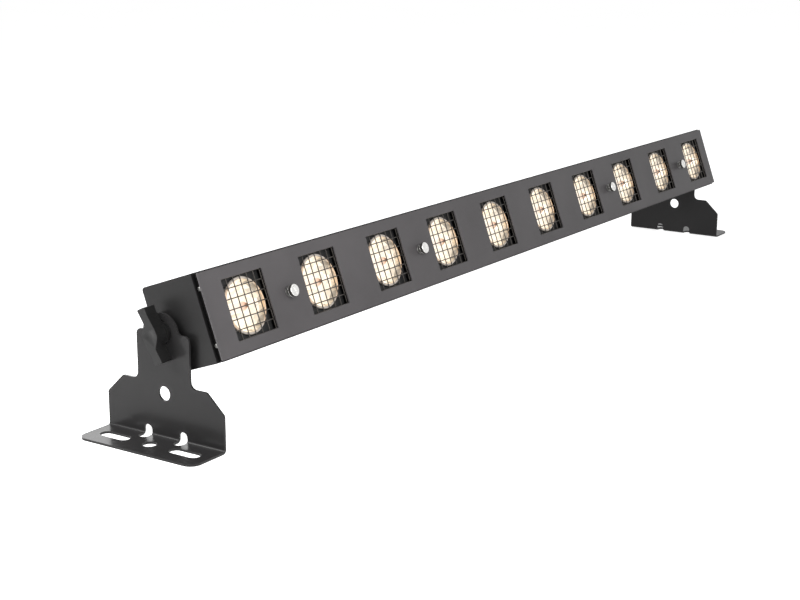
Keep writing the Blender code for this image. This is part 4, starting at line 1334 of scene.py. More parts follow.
@dataclass
class Thumbscrews(Assembly):
    """Knurled, slotted screws that hold the front panel."""

    radius: float = 0.0055
    head: float = 0.0040
    face: float = 0.0006
    rim: float = 0.0006
    sides: int = 48
    teeth: int = 30
    tooth: float = 0.0003
    slot_width: float = 0.0008
    slot_depth: float = 0.0005
    slot_turn: float = 68.0
    neck_radius: float = 0.0026
    neck: float = 0.0031
    collar_radius: float = 0.0042
    collar: float = 0.0006
    collar_chamfer: float = 0.0002
    shank_radius: float = 0.0020
    tip_y: float = 0.01440
    tip_chamfer: float = 0.0006
    stem_sides: int = 32
    edge: float = 0.0002

    @property
    def back_y(self) -> float:
        """Where the head ends towards the panel."""
        return -self.layout.clearance - self.collar - self.neck

    @property
    def front_y(self) -> float:
        """Where the head ends towards the front."""
        return self.back_y - self.head

    def slot(self) -> tuple[Cut, Mesh]:
        """The screwdriver slot.

        Returns:
            The step that cuts it.
        """
        reach = 4 * self.radius
        front = self.front_y - self.head
        cut = slab(0.0, 0.0, reach, self.slot_width, front, self.front_y + self.slot_depth)
        cut.transform(Matrix.Rotation(math.radians(self.slot_turn), 4, "Y"))
        return Cut.AWAY, cut

    def knurl_mesh(self) -> Mesh:
        """The knurled band between the face and the rear rim.

        Returns:
            A closed mesh.
        """
        outline = toothed(self.radius, self.tooth, self.teeth)
        middle_y = (self.front_y + self.face + self.back_y - self.rim) / 2
        band = extruded(outline, self.head - self.face - self.rim, Plane.XZ, (0.0, middle_y, 0.0))
        return carved(band, self.slot())

    def head_mesh(self) -> Mesh:
        """The slotted face and the plain rim at the back of the head.

        Returns:
            Both as one mesh.
        """
        front, soft = self.front_y, self.face / 3
        profile = [
            (0.0, front), (self.radius - 2 * soft, front), (self.radius - soft, front + soft),
            (self.radius - soft, front + self.face), (0.0, front + self.face),
        ]
        face = carved(turned(profile, self.sides, Axis.Y), self.slot())
        return joined([face, rod((0.0, self.back_y, 0.0), -self.rim, self.radius, Axis.Y, self.sides)])

    def stem_mesh(self) -> Mesh:
        """The neck, the collar against the panel and the shank behind it.

        Returns:
            A closed mesh.
        """
        seat = -self.layout.clearance
        front = seat - self.collar
        profile = [
            (0.0, self.back_y), (self.neck_radius, self.back_y), (self.neck_radius, front),
            (self.collar_radius - self.collar_chamfer, front),
            (self.collar_radius, front + self.collar_chamfer), (self.collar_radius, seat),
            (self.shank_radius, seat), (self.shank_radius, self.tip_y - self.tip_chamfer),
            (self.shank_radius - self.tip_chamfer, self.tip_y), (0.0, self.tip_y),
        ]
        return turned(profile, self.stem_sides, Axis.Y)

    def pieces(self) -> list[Piece]:
        """Make the three pieces of each screw.

        Returns:
            The pieces, screw by screw.
        """
        lay = self.layout
        head, band, stem = self.head_mesh(), self.knurl_mesh(), self.stem_mesh()
        made = []
        for index, gap in enumerate(lay.thumbscrew_gaps, 1):
            node = f"thumbscrew_{index}"
            where = {"body": node, "frame": lay.spot(lay.gap_x(gap), lay.face_y)}
            made += [
                Piece(f"{node}_head", head, Palette.NICKEL, stands_for=(node,), edge=self.edge, **where),
                # The knurled band gets the dark copy of the nickel, a painted shade on the head's sides.
                Piece(f"{node}_knurl", band, Palette.KNURL, **where),
                Piece(f"{node}_stem", stem, Palette.ZINC, **where),
            ]
        return made


# Housing and the fittings in its back wall


@dataclass(frozen=True)
class RearOpening:
    """One opening in the back wall. A height of 0 makes it round, with the width as its diameter."""

    gap: int
    width: float
    height: float = 0.0
    rise: float = 0.0
    shift: float = 0.0


MAINS_GAPS = {"mains_inlet": 3, "mains_outlet": 4}
DATA_GAPS = {"data_inlet": 6, "data_outlet": 7}
FUSE_GAP = 2
MENU_GAP = 5
DISPLAY_RISE = 0.0100
BUTTON_SHIFTS = tuple((k - 1.5) * 0.0110 for k in range(4))
BUTTON_DROP = -0.0100
REAR_OPENINGS = (
    *(RearOpening(gap, 0.0278, 0.0206) for gap in MAINS_GAPS.values()),
    *(RearOpening(gap, 0.0236) for gap in DATA_GAPS.values()),
    RearOpening(FUSE_GAP, 0.0156),
    RearOpening(MENU_GAP, 0.0346, 0.0146, DISPLAY_RISE),
    *(RearOpening(MENU_GAP, 0.0070, rise=BUTTON_DROP, shift=shift) for shift in BUTTON_SHIFTS),
)


@dataclass
class ChannelShell(Assembly):
    """Folded channel around the top, the back and the bottom of the housing, open for the rear fittings."""

    end_x: float = 0.5160
    round_sides: int = 32
    edge: float = 0.00025

    def openings(self) -> Mesh:
        """Everything that is cut out of the back wall.

        Returns:
            One mesh to cut with.
        """
        lay = self.layout
        low_y, high_y = lay.wall_y - lay.past, lay.back_y + lay.past
        cuts = []
        for hole in REAR_OPENINGS:
            x, z = lay.gap_x(hole.gap) + hole.shift, lay.middle_z + hole.rise
            if hole.height > 0.0:
                cuts.append(slab(x, z, hole.width, hole.height, low_y, high_y))
            else:
                cuts.append(rod((x, low_y, z), high_y - low_y, hole.width / 2, Axis.Y, self.round_sides))
        return joined(cuts)

    def pieces(self) -> list[Piece]:
        """Fold the channel and cut its openings.

        Returns:
            The channel.
        """
        lay = self.layout
        outer = extruded(lay.section(0.0, lay.inner_y), 2 * self.end_x, Plane.YZ)
        inner = extruded(lay.section(lay.sheet, lay.inner_y - lay.past), 2 * self.end_x + lay.past, Plane.YZ)
        mesh = carved(outer, (Cut.AWAY, inner), (Cut.AWAY, self.openings()))
        nodes = ("housing_channel",)
        return [Piece("channel_shell", mesh, Palette.CASE, HOUSING, nodes, lay.housing, self.edge)]


@dataclass(frozen=True)
class CrossScrew:
    """Screw head with a cross recess, seen from behind the housing."""

    radius: float = 0.0026
    dome: float = 0.0004
    dome_share: float = 0.7
    rim: float = 0.0002
    root_share: float = 0.5
    depth: float = 0.0014
    sides: int = 24
    cross_width: float = 0.0006
    cross_reach: float = 0.0016
    cross_depth: float = 0.0009
    past: float = 0.001

    def mesh(self, x: float, y: float, z: float) -> Mesh:
        """The head.

        Args:
            x: Place along the bar.
            y: Surface that it sits in.
            z: Height.

        Returns:
            Its mesh.
        """
        profile = [
            (0.0, self.dome), (self.dome_share * self.radius, self.dome_share * self.dome),
            (self.radius, 0.0), (self.radius, -self.rim), (self.root_share * self.radius, -self.depth),
            (0.0, -self.depth),
        ]
        low, high = self.dome - self.cross_depth, self.dome + self.past
        cuts = cross_cuts(low, high, self.cross_width, self.cross_reach, Axis.Y)
        head = carved(turned(profile, self.sides, Axis.Y), *cuts)
        head.transform(Matrix.Translation((x, y, z)))
        return head


@dataclass
class SocketPair(Assembly):
    """An inlet and an outlet of one kind, each with a body, a flange and two screws."""

    edge: float = 0.0004

    def shell(
        self, x: float, body: Mesh, width: float, height: float, corner: float
    ) -> Mesh:
        """A body joined to its flange, without any opening.

        Args:
            x: Their middle along the bar.
            body: The body.
            width: Width of the flange.
            height: Height of the flange.
            corner: Radius of the flange's corners.

        Returns:
            A closed mesh.
        """
        lay = self.layout
        middle = (x, (lay.fitting_y + lay.mouth_y) / 2, lay.middle_z)
        outline = rectangle(CENTER, width, height, corner)
        flange = extruded(outline, lay.mouth_y - lay.fitting_y, Plane.XZ, middle)
        return carved(body, (Cut.TOGETHER, flange))

    def screws(self, x: float, across: float, up: float, screw: CrossScrew) -> Mesh:
        """The two screws beside a socket, one lower on its left and one higher on its right."""
        y, z = self.layout.mouth_y, self.layout.middle_z
        return joined(screw.mesh(x + way * across, y, z + way * up) for way in BOTH_WAYS)

    def shell_piece(self, node: str, mesh: Mesh, **looks: Optional[float]) -> Piece:
        """The piece that stands for a socket's node."""
        frame_there = self.layout.housing
        return Piece(f"{node}_shell", mesh, Palette.PLASTIC, stands_for=(node,), frame=frame_there, **looks)


@dataclass
class MainsSockets(SocketPair):
    """Flanged mains inlet with three blades in a hollow, and the outlet with three slots."""

    body_width: float = 0.0272
    body_height: float = 0.0200
    body_depth: float = 0.0220
    ear: float = 0.0104
    lip: float = 0.0030
    flange_corner: float = 0.0030
    cavity_width: float = 0.0240
    cavity_height: float = 0.0168
    cavity_depth: float = 0.0165
    cavity_cut: float = 0.0045
    collar: float = 0.0014
    blade_width: float = 0.0020
    blade_height: float = 0.0040
    blade_length: float = 0.0130
    blade_spacing: float = 0.0070
    earth_rise: float = 0.0040

    @property
    def blade_spots(self) -> tuple[Point, ...]:
        """Places of the three contacts, across and up."""
        return ((-self.blade_spacing, 0.0), (0.0, self.earth_rise), (self.blade_spacing, 0.0))

    def flanged(self, x: float) -> Mesh:
        """Body and flange of either socket.

        Args:
            x: Their middle along the bar.

        Returns:
            A closed mesh.
        """
        lay = self.layout
        low_y, high_y = lay.wall_y - self.body_depth, lay.fitting_y + lay.overlap
        body = slab(x, lay.middle_z, self.body_width, self.body_height, low_y, high_y)
        width, height = self.body_width + 2 * self.ear, self.body_height + 2 * self.lip
        return self.shell(x, body, width, height, self.flange_corner)

    def cavity(self, x: float, depth: float, inset: float) -> Mesh:
        """The hollow for the plug, with two of its corners cut off.

        Args:
            x: Its middle along the bar.
            depth: How far it goes in from the mouth.
            inset: How much smaller than the full hollow it is all round.

        Returns:
            A closed mesh to cut with.
        """
        lay = self.layout
        half_x, half_z, cut = self.cavity_width / 2 - inset, self.cavity_height / 2 - inset, self.cavity_cut
        outline = [
            (-half_x, -half_z), (half_x, -half_z), (half_x, half_z - cut), (half_x - cut, half_z),
            (cut - half_x, half_z), (-half_x, half_z - cut),
        ]
        middle_y = lay.mouth_y + (lay.past - depth) / 2
        return extruded(outline, depth + lay.past, Plane.XZ, (x, middle_y, lay.middle_z))

    def contacts(self, x: float, wider: float, low_y: float, high_y: float) -> Mesh:
        """The three blades, or the slots for them, which are a little wider and higher."""
        wide, high, z = self.blade_width + wider, self.blade_height + wider, self.layout.middle_z
        return joined(slab(x + across, z + up, wide, high, low_y, high_y) for across, up in self.blade_spots)

    def inlet(self, x: float) -> list[Piece]:
        """The inlet's shell, blades and screws.

        Args:
            x: Its middle along the bar.

        Returns:
            The pieces.
        """
        lay = self.layout
        floor = lay.mouth_y - self.cavity_depth
        mesh = carved(self.flanged(x), (Cut.AWAY, self.cavity(x, self.cavity_depth, 0.0)))
        blades = self.contacts(x, 0.0, floor - lay.overlap, floor + self.blade_length)
        screws = self.screws(x, (self.body_width + self.ear) / 2, 0.0, CrossScrew())
        return [
            self.shell_piece("mains_inlet", mesh, edge=self.edge),
            Piece("mains_inlet_blades", blades, Palette.BLADE, frame=lay.housing, edge=self.edge),
            Piece("mains_inlet_screws", screws, Palette.NICKEL, frame=lay.housing),
        ]

    def outlet(self, x: float) -> list[Piece]:
        """The outlet's shell and screws.

        Args:
            x: Its middle along the bar.

        Returns:
            The pieces.
        """
        lay = self.layout
        core = self.cavity(x, self.collar + lay.past, self.collar)
        ring = carved(self.cavity(x, self.collar, 0.0), (Cut.AWAY, core))
        slots = self.contacts(x, 2 * lay.clearance, lay.mouth_y - self.blade_length, lay.mouth_y + lay.past)
        mesh = carved(self.flanged(x), (Cut.AWAY, ring), (Cut.AWAY, slots))
        screws = self.screws(x, (self.body_width + self.ear) / 2, 0.0, CrossScrew())
        return [
            self.shell_piece("mains_outlet", mesh, smooth=None),
            Piece("mains_outlet_screws", screws, Palette.NICKEL, frame=lay.housing),
        ]

    def pieces(self) -> list[Piece]:
        """Both sockets."""
        inlet_x, outlet_x = (self.layout.gap_x(gap) for gap in MAINS_GAPS.values())
        return self.inlet(inlet_x) + self.outlet(outlet_x)


@dataclass
class ControlSockets(SocketPair):
    """Round three-pin control sockets: pins in a hollow on the input, holes in an insert on the output."""

    flange_width: float = 0.0260
    flange_height: float = 0.0310
    flange_corner: float = 0.0035
    body_radius: float = 0.0115
    body_depth: float = 0.0200
    body_sides: int = 48
    cavity_radius: float = 0.0093
    cavity_depth: float = 0.0135
    key_width: float = 0.0024
    key_rise: float = 0.0009
    pin_radius: float = 0.0012
    pin_length: float = 0.0110
    pin_circle: float = 0.0048
    pin_sides: int = 16
    hole_sides: int = 20
    screw: CrossScrew = CrossScrew(radius=0.0022)
    screw_across: float = 0.0095
    screw_up: float = 0.0120
    ring_radius: float = 0.0088
    ring_width: float = 0.0006
    ring_depth: float = 0.0012
    latch_width: float = 0.0064
    latch_height: float = 0.0034
    latch_corner: float = 0.0008
    latch_up: float = 0.0116
    latch_proud: float = 0.0008

    @property
    def spots(self) -> list[Point]:
        """Places of the three contacts, across and up."""
        return arc(CENTER, self.pin_circle, 90.0, 330.0, 2)

    def flanged(self, x: float) -> Mesh:
        """Body and flange of either socket.

        Args:
            x: Their middle along the bar.

        Returns:
            A closed mesh.
        """
        lay = self.layout
        start = lay.wall_y - self.body_depth
        reach = lay.fitting_y + lay.overlap - start
        body = rod((x, start, lay.middle_z), reach, self.body_radius, Axis.Y, self.body_sides)
        return self.shell(x, body, self.flange_width, self.flange_height, self.flange_corner)

    def inlet(self, x: float) -> list[Piece]:
        """The input's shell, pins and screws.

        Args:
            x: Its middle along the bar.

        Returns:
            The pieces.
        """
        lay = self.layout
        floor = lay.mouth_y - self.cavity_depth
        depth = self.cavity_depth + lay.past
        hollow = rod((x, floor, lay.middle_z), depth, self.cavity_radius, Axis.Y, self.body_sides)
        key_low = (x - self.key_width / 2, floor, lay.middle_z - self.cavity_radius - self.key_rise)
        key = block(key_low, (x + self.key_width / 2, lay.mouth_y + lay.past, lay.middle_z - self.pin_circle))
        mesh = carved(self.flanged(x), (Cut.AWAY, hollow), (Cut.AWAY, key))
        tip = self.pin_radius / 3
        profile = [
            (0.0, -lay.overlap), (self.pin_radius, -lay.overlap),
            (self.pin_radius, self.pin_length - tip), (self.pin_radius - tip, self.pin_length),
            (0.0, self.pin_length),
        ]
        places = [(x + across, floor, lay.middle_z + up) for across, up in self.spots]
        pins = joined([turned(profile, self.pin_sides, Axis.Y, place) for place in places])
        screws = self.screws(x, self.screw_across, self.screw_up, self.screw)
        return [
            self.shell_piece("data_inlet", mesh, edge=self.edge),
            Piece("data_inlet_pins", pins, Palette.GOLD, frame=lay.housing),
            Piece("data_inlet_screws", screws, Palette.NICKEL, frame=lay.housing),
        ]

    def outlet(self, x: float) -> list[Piece]:
        """The output's shell, latch and screws.

        Args:
            x: Its middle along the bar.

        Returns:
            The pieces.
        """
        lay = self.layout
        start, reach = lay.mouth_y - self.pin_length, self.pin_length + lay.past
        radius = self.pin_radius + lay.clearance
        places = [(x + across, start, lay.middle_z + up) for across, up in self.spots]
        holes = joined([rod(place, reach, radius, Axis.Y, self.hole_sides) for place in places])
        outline = circle(CENTER, self.ring_radius, self.body_sides)
        inner = circle(CENTER, self.ring_radius - self.ring_width, self.body_sides)
        middle = (x, lay.mouth_y + (lay.past - self.ring_depth) / 2, lay.middle_z)
        ring = extruded(outline, self.ring_depth + lay.past, Plane.XZ, middle, [inner])
        mesh = carved(self.flanged(x), (Cut.AWAY, ring), (Cut.AWAY, holes))
        latch_outline = rectangle(CENTER, self.latch_width, self.latch_height, self.latch_corner)
        middle = (x, lay.mouth_y, lay.middle_z + self.latch_up)
        latch = extruded(latch_outline, 2 * self.latch_proud, Plane.XZ, middle)
        screws = self.screws(x, self.screw_across, self.screw_up, self.screw)
        return [
            self.shell_piece("data_outlet", mesh, edge=self.edge / 2),
            Piece("data_outlet_latch", latch, Palette.BLADE, frame=lay.housing, edge=self.edge),
            Piece("data_outlet_screws", screws, Palette.NICKEL, frame=lay.housing),
        ]

    def pieces(self) -> list[Piece]:
        """Both sockets."""
        inlet_x, outlet_x = (self.layout.gap_x(gap) for gap in DATA_GAPS.values())
        return self.inlet(inlet_x) + self.outlet(outlet_x)


@dataclass
class FusePost(Assembly):
    """Fuse holder in the back wall, and its bayonet cap with a grip bar."""

    body_radius: float = 0.0075
    body_depth: float = 0.0240
    body_sides: int = 48
    lip: float = 0.0020
    lip_round: float = 0.0004
    bore_radius: float = 0.0054
    bore_depth: float = 0.0110
    stem_length: float = 0.0080
    stem_sides: int = 32
    cap_lip: float = 0.0017
    cap_height: float = 0.0050
    ribs: int = 24
    rib: float = 0.00035
    grip_width: float = 0.0022
    grip_height: float = 0.0030
    cap_edge: float = 0.0002

    def holder(self) -> Mesh:
        """The holder, turned about its own axis from the mouth.

        Returns:
            A closed mesh.
        """
        lay = self.layout
        end = lay.wall_y - self.body_depth - lay.mouth_y
        seat = lay.fitting_y - lay.mouth_y
        outer, soft = self.body_radius + self.lip, self.lip_round
        profile = [
            (0.0, end), (self.body_radius, end), (self.body_radius, seat), (outer, seat),
            (outer, -2 * soft), (outer - soft, -soft), (outer - 2 * soft, 0.0),
            (self.bore_radius + soft, 0.0), (self.bore_radius, -soft),
            (self.bore_radius, -self.bore_depth), (0.0, -self.bore_depth),
        ]
        return turned(profile, self.body_sides, Axis.Y)

    def cap(self) -> Mesh:
        """The ribbed cap with its grip bar and stem.

        Returns:
            A closed mesh.
        """
        gap, overlap = self.layout.clearance, self.layout.overlap
        outline = toothed(self.bore_radius + self.cap_lip, self.rib, self.ribs)
        knob = extruded(outline, self.cap_height, Plane.XZ, (0.0, gap + self.cap_height / 2, 0.0))
        root = (0.0, gap + overlap, 0.0)
        stem = rod(root, -self.stem_length, self.bore_radius - gap, Axis.Y, self.stem_sides)
        top = gap + self.cap_height
        grip = slab(0.0, 0.0, 2 * self.bore_radius, self.grip_width, top - overlap, top + self.grip_height)
        return carved(knob, (Cut.TOGETHER, stem), (Cut.TOGETHER, grip))

    def pieces(self) -> list[Piece]:
        """Make the holder and the cap.

        Returns:
            Both pieces.
        """
        spot = self.layout.spot(self.layout.gap_x(FUSE_GAP), self.layout.mouth_y)
        holder = Piece("fuse_post", self.holder(), Palette.PLASTIC, stands_for=("fuse_holder",), frame=spot)
        nodes = ("fuse_cap",)
        cap = Piece("fuse_turn_cap", self.cap(), Palette.PLASTIC, "fuse_cap", nodes, spot, self.cap_edge)
        return [holder, cap]


@dataclass
class MenuPanel(Assembly):
    """Display block with four digits behind a dark window, and four dished buttons."""

    width: float = 0.0520
    height: float = 0.0400
    depth: float = 0.0080
    display_width: float = 0.0340
    display_height: float = 0.0140
    display_proud: float = 0.0008
    frame_width: float = 0.0011
    window_sink: float = 0.0004
    window_edge: float = 0.0001
    digits: int = 4
    digit_width: float = 0.0042
    digit_height: float = 0.0078
    digit_pitch: float = 0.0074
    stroke: float = 0.0007
    lean: float = 0.10
    button_radius: float = 0.0032
    button_proud: float = 0.0022
    button_sides: int = 32
    bore_depth: float = 0.0050
    bore_sides: int = 28
    travel: float = 0.0010
    dish: float = 0.0004
    dish_curve: tuple[Point, ...] = ((0.75, 0.2), (0.4, 0.7), (0.0, 1.0))
    edge_share: float = 0.3
    edge: float = 0.0003

    @property
    def seat(self) -> float:
        """Where the block lies against the back wall."""
        return self.layout.wall_y - self.layout.clearance

    @property
    def frame_y(self) -> float:
        """Where the display's frame ends."""
        return self.layout.back_y + self.display_proud

    @property
    def window_y(self) -> float:
        """Where the window pane ends, a little below its frame."""
        return self.frame_y - self.window_sink

    @property
    def display_z(self) -> float:
        """Height of the display's middle."""
        return self.layout.middle_z + DISPLAY_RISE

    def pane(self, x: float, low_y: float, high_y: float) -> Mesh:
        """A box as large as the window pane."""
        width, height = self.display_width - 2 * self.frame_width, self.display_height - 2 * self.frame_width
        return slab(x, self.display_z, width, height, low_y, high_y)

    def block_mesh(self, x: float) -> Mesh:
        """The block with its raised display frame and the button bores.

        Args:
            x: Its middle along the bar.

        Returns:
            A closed mesh.
        """
        lay, seat = self.layout, self.seat
        body = slab(x, lay.middle_z, self.width, self.height, seat - self.depth, seat)
        low_y, front = seat - lay.overlap, self.frame_y
        tower = slab(x, self.display_z, self.display_width, self.display_height, low_y, front)
        sink = self.pane(x, front - 3 * self.window_sink, front + lay.past)
        reach, radius = self.bore_depth + lay.past, self.button_radius + lay.clearance
        starts = [(x + shift, seat - self.bore_depth, lay.middle_z + BUTTON_DROP) for shift in BUTTON_SHIFTS]
        bores = joined([rod(start, reach, radius, Axis.Y, self.bore_sides) for start in starts])
        return carved(body, (Cut.TOGETHER, tower), (Cut.AWAY, sink), (Cut.AWAY, bores))

    def stroke_mesh(self, reach: float, upright: bool, x: float, up: float) -> Mesh:
        """One stroke of a digit, standing a hair proud of the window.

        Args:
            reach: Half of its length, from the middle to a tip.
            upright: Whether it stands instead of lying.
            x: Its middle along the bar.
            up: Height of its middle over the display's.

        Returns:
            A closed mesh.
        """
        thin = self.stroke / 2
        inner = reach - thin
        outline = [
            (-reach, 0.0), (-inner, -thin), (inner, -thin), (reach, 0.0), (inner, thin), (-inner, thin),
        ]
        if upright:
            outline = [(-high, wide) for wide, high in outline]
        return extruded(outline, self.window_sink / 2, Plane.XZ, (x, self.window_y, self.display_z + up))

    def digit_mesh(self, x: float) -> Mesh:
        """The seven strokes of each digit.

        Args:
            x: Their middle along the bar.

        Returns:
            All strokes as one mesh.
        """
        wide, tall = self.digit_width / 2, self.digit_height / 2
        strokes = []
        for number in range(self.digits):
            middle = x + (number - (self.digits - 1) / 2) * self.digit_pitch
            for up in (-tall, 0.0, tall):
                strokes.append(self.stroke_mesh(wide - self.stroke, False, middle - self.lean * up, up))
            for across in (-wide, wide):
                for up in (-tall / 2, tall / 2):
                    x_there = middle + across - self.lean * up
                    strokes.append(self.stroke_mesh((tall - self.stroke) / 2, True, x_there, up))
        return joined(strokes)

    def button_mesh(self) -> Mesh:
        """A button with a soft edge and a shallow dish, on the axis of its bore.

        Returns:
            A closed mesh.
        """
        back = self.seat - self.bore_depth + self.travel + self.layout.clearance
        top = self.layout.back_y + self.button_proud - back
        radius, dish = self.button_radius, self.dish
        profile = [
            (0.0, 0.0), (radius, 0.0), (radius, top - dish),
            (radius - self.edge_share * dish, top - self.edge_share * dish), (radius - dish, top),
            *((share * radius, top - sink * dish) for share, sink in self.dish_curve),
        ]
        return turned(profile, self.button_sides, Axis.Y, (0.0, back, 0.0))

    def pieces(self) -> list[Piece]:
        """Make the panel and its buttons.

        Returns:
            The pieces.
        """
        lay = self.layout
        x = lay.gap_x(MENU_GAP)
        mesh, nodes = self.block_mesh(x), ("control_panel",)
        window = self.pane(x, self.window_y - 2 * self.window_sink, self.window_y)
        made = [
            Piece("menu_block", mesh, Palette.PLASTIC, HOUSING, nodes, lay.housing, self.edge),
            Piece("menu_window", window, Palette.WINDOW, frame=lay.housing, edge=self.window_edge),
            Piece("menu_digits", self.digit_mesh(x), Palette.DIGITS, frame=lay.housing, smooth=None),
        ]
        for index, shift in enumerate(BUTTON_SHIFTS, 1):
            node, spot = f"menu_button_{index}", lay.spot(x + shift, 0.0, BUTTON_DROP)
            made.append(Piece(f"{node}_cap", self.button_mesh(), Palette.BUTTON, node, (node,), spot))
        return made


@dataclass
class BoardScrews(Assembly):
    """Screws that hold the two circuit boards from outside the back wall."""

    gaps: tuple[int, ...] = (1, 8)
    screw: CrossScrew = CrossScrew(radius=0.0028, dome=0.0011)
    across: float = 0.0240
    up: float = 0.0220

    def pieces(self) -> list[Piece]:
        """Make the four screws of each board.

        Returns:
            A piece for each board.
        """
        lay = self.layout
        made = []
        for gap in self.gaps:
            across = [lay.gap_x(gap) + way * self.across for way in BOTH_WAYS]
            heights = [lay.middle_z + way * self.up for way in BOTH_WAYS]
            heads = [self.screw.mesh(x, lay.back_y, z) for x in across for z in heights]
            made.append(Piece(f"board_screws_{gap}", joined(heads), Palette.WIRE, frame=lay.housing))
        return made


# Ends


@dataclass
class EndCap(Assembly):
    """Shallow end cover with a set-back lip that leaves a groove beside the front panel. The lip is coloured
    near-black, a painted shadow in the groove.
    """

    side: Side
    depth: float = 0.0051
    groove: float = 0.0036
    groove_back_y: float = -0.0433
    pivot_sides: int = 28
    screw_radius: float = 0.0018
    screw_sides: int = 16
    edge: float = 0.00045

    def span(self, near: float, far: float) -> tuple[float, float]:
        """Two distances from the middle of the bar as a low and a high X on this side."""
        low, high = sorted((self.side.value * near, self.side.value * far))
        return low, high

    def pieces(self) -> list[Piece]:
        """Make the cover and its lip.

        Returns:
            Both pieces.
        """
        lay, sign = self.layout, self.side.value
        inner_x = lay.half_length - self.depth
        middle = (sign * (lay.half_length - self.depth / 2), 0.0, 0.0)
        body = extruded(lay.section(0.0, self.groove_back_y), self.depth, Plane.YZ, middle)
        low_x, high_x = self.span(lay.half_length - lay.sheet, inner_x - lay.past)
        hollow_outline = lay.section(lay.sheet, self.groove_back_y + lay.sheet)
        hollow = extruded(hollow_outline, high_x - low_x, Plane.YZ, ((low_x + high_x) / 2, 0.0, 0.0))
        start_x = sign * (inner_x - lay.past)
        reach = sign * (self.depth + 2 * lay.past)
        hole = rod((start_x, 0.0, 0.0), reach, lay.pivot_radius, Axis.X, self.pivot_sides)
        cover = carved(body, (Cut.AWAY, hollow), (Cut.AWAY, hole))
        low_x, high_x = self.span(inner_x, lay.half_length - self.groove)
        lip = block((low_x, lay.inner_y, lay.bottom_z), (high_x, self.groove_back_y + lay.overlap, lay.top_z))
        heights = [lay.middle_z + level.value * lay.end_screw_rise for level in Level]
        spots = [(start_x, lay.end_screw_y, z) for z in heights]
        screws = joined(rod(spot, reach, self.screw_radius, Axis.X, self.screw_sides) for spot in spots)
        word = self.side.word
        ledge, nodes = carved(lip, (Cut.AWAY, screws)), (f"end_cap_{word}",)
        return [
            Piece(f"cap_cover_{word}", cover, Palette.CASE, HOUSING, nodes, lay.housing, self.edge),
            # The lip carries the near-black painted shadow of the groove.
            Piece(f"cap_lip_{word}", ledge, Palette.LIP, HOUSING, nodes, lay.housing, self.edge / 2),
        ]


@dataclass
class CapScrews(Assembly):
    """Domed cross-recess screws in the groove at each end."""

    seat_x: float = 0.5181
    head_radius: float = 0.0022
    head: float = 0.0020
    head_curve: tuple[Point, ...] = ((0.0, 0.0), (0.55, 0.08), (0.85, 0.35), (1.0, 0.75))
    shank_radius: float = 0.0015
    reach: float = 0.0060
    sides: int = 28
    cross_width: float = 0.0006
    cross_reach: float = 0.0013
    cross_depth: float = 0.0007

    def screw(self, sign: float) -> Mesh:
        """One screw.

        Args:
            sign: The sign of X that its head is turned to.

        Returns:
            A closed mesh.
        """
        seat, top = self.seat_x, self.seat_x + self.head
        profile = [
            *((share * self.head_radius, top - down * self.head) for share, down in self.head_curve),
            (self.head_radius, seat), (self.shank_radius, seat), (self.shank_radius, seat - self.reach),
            (0.0, seat - self.reach),
        ]
        body = turned([(radius, sign * along) for radius, along in profile], self.sides, Axis.X)
        low, high = sorted((sign * (top - self.cross_depth), sign * (top + self.head)))
        return carved(body, *cross_cuts(low, high, self.cross_width, self.cross_reach, Axis.X))

    def pieces(self) -> list[Piece]:
        """Make the four screws.

        Returns:
            The screws, left then right, each upper then lower.
        """
        lay = self.layout
        made = []
        for side in Side:
            mesh = self.screw(side.value)
            for level in Level:
                place = f"{side.word}_{level.word}"
                spot = lay.spot(0.0, lay.end_screw_y, level.value * lay.end_screw_rise)
                nodes = (f"end_screw_{place}",)
                made.append(Piece(f"cap_screw_{place}", mesh, Palette.ZINC, stands_for=nodes, frame=spot))
        return made


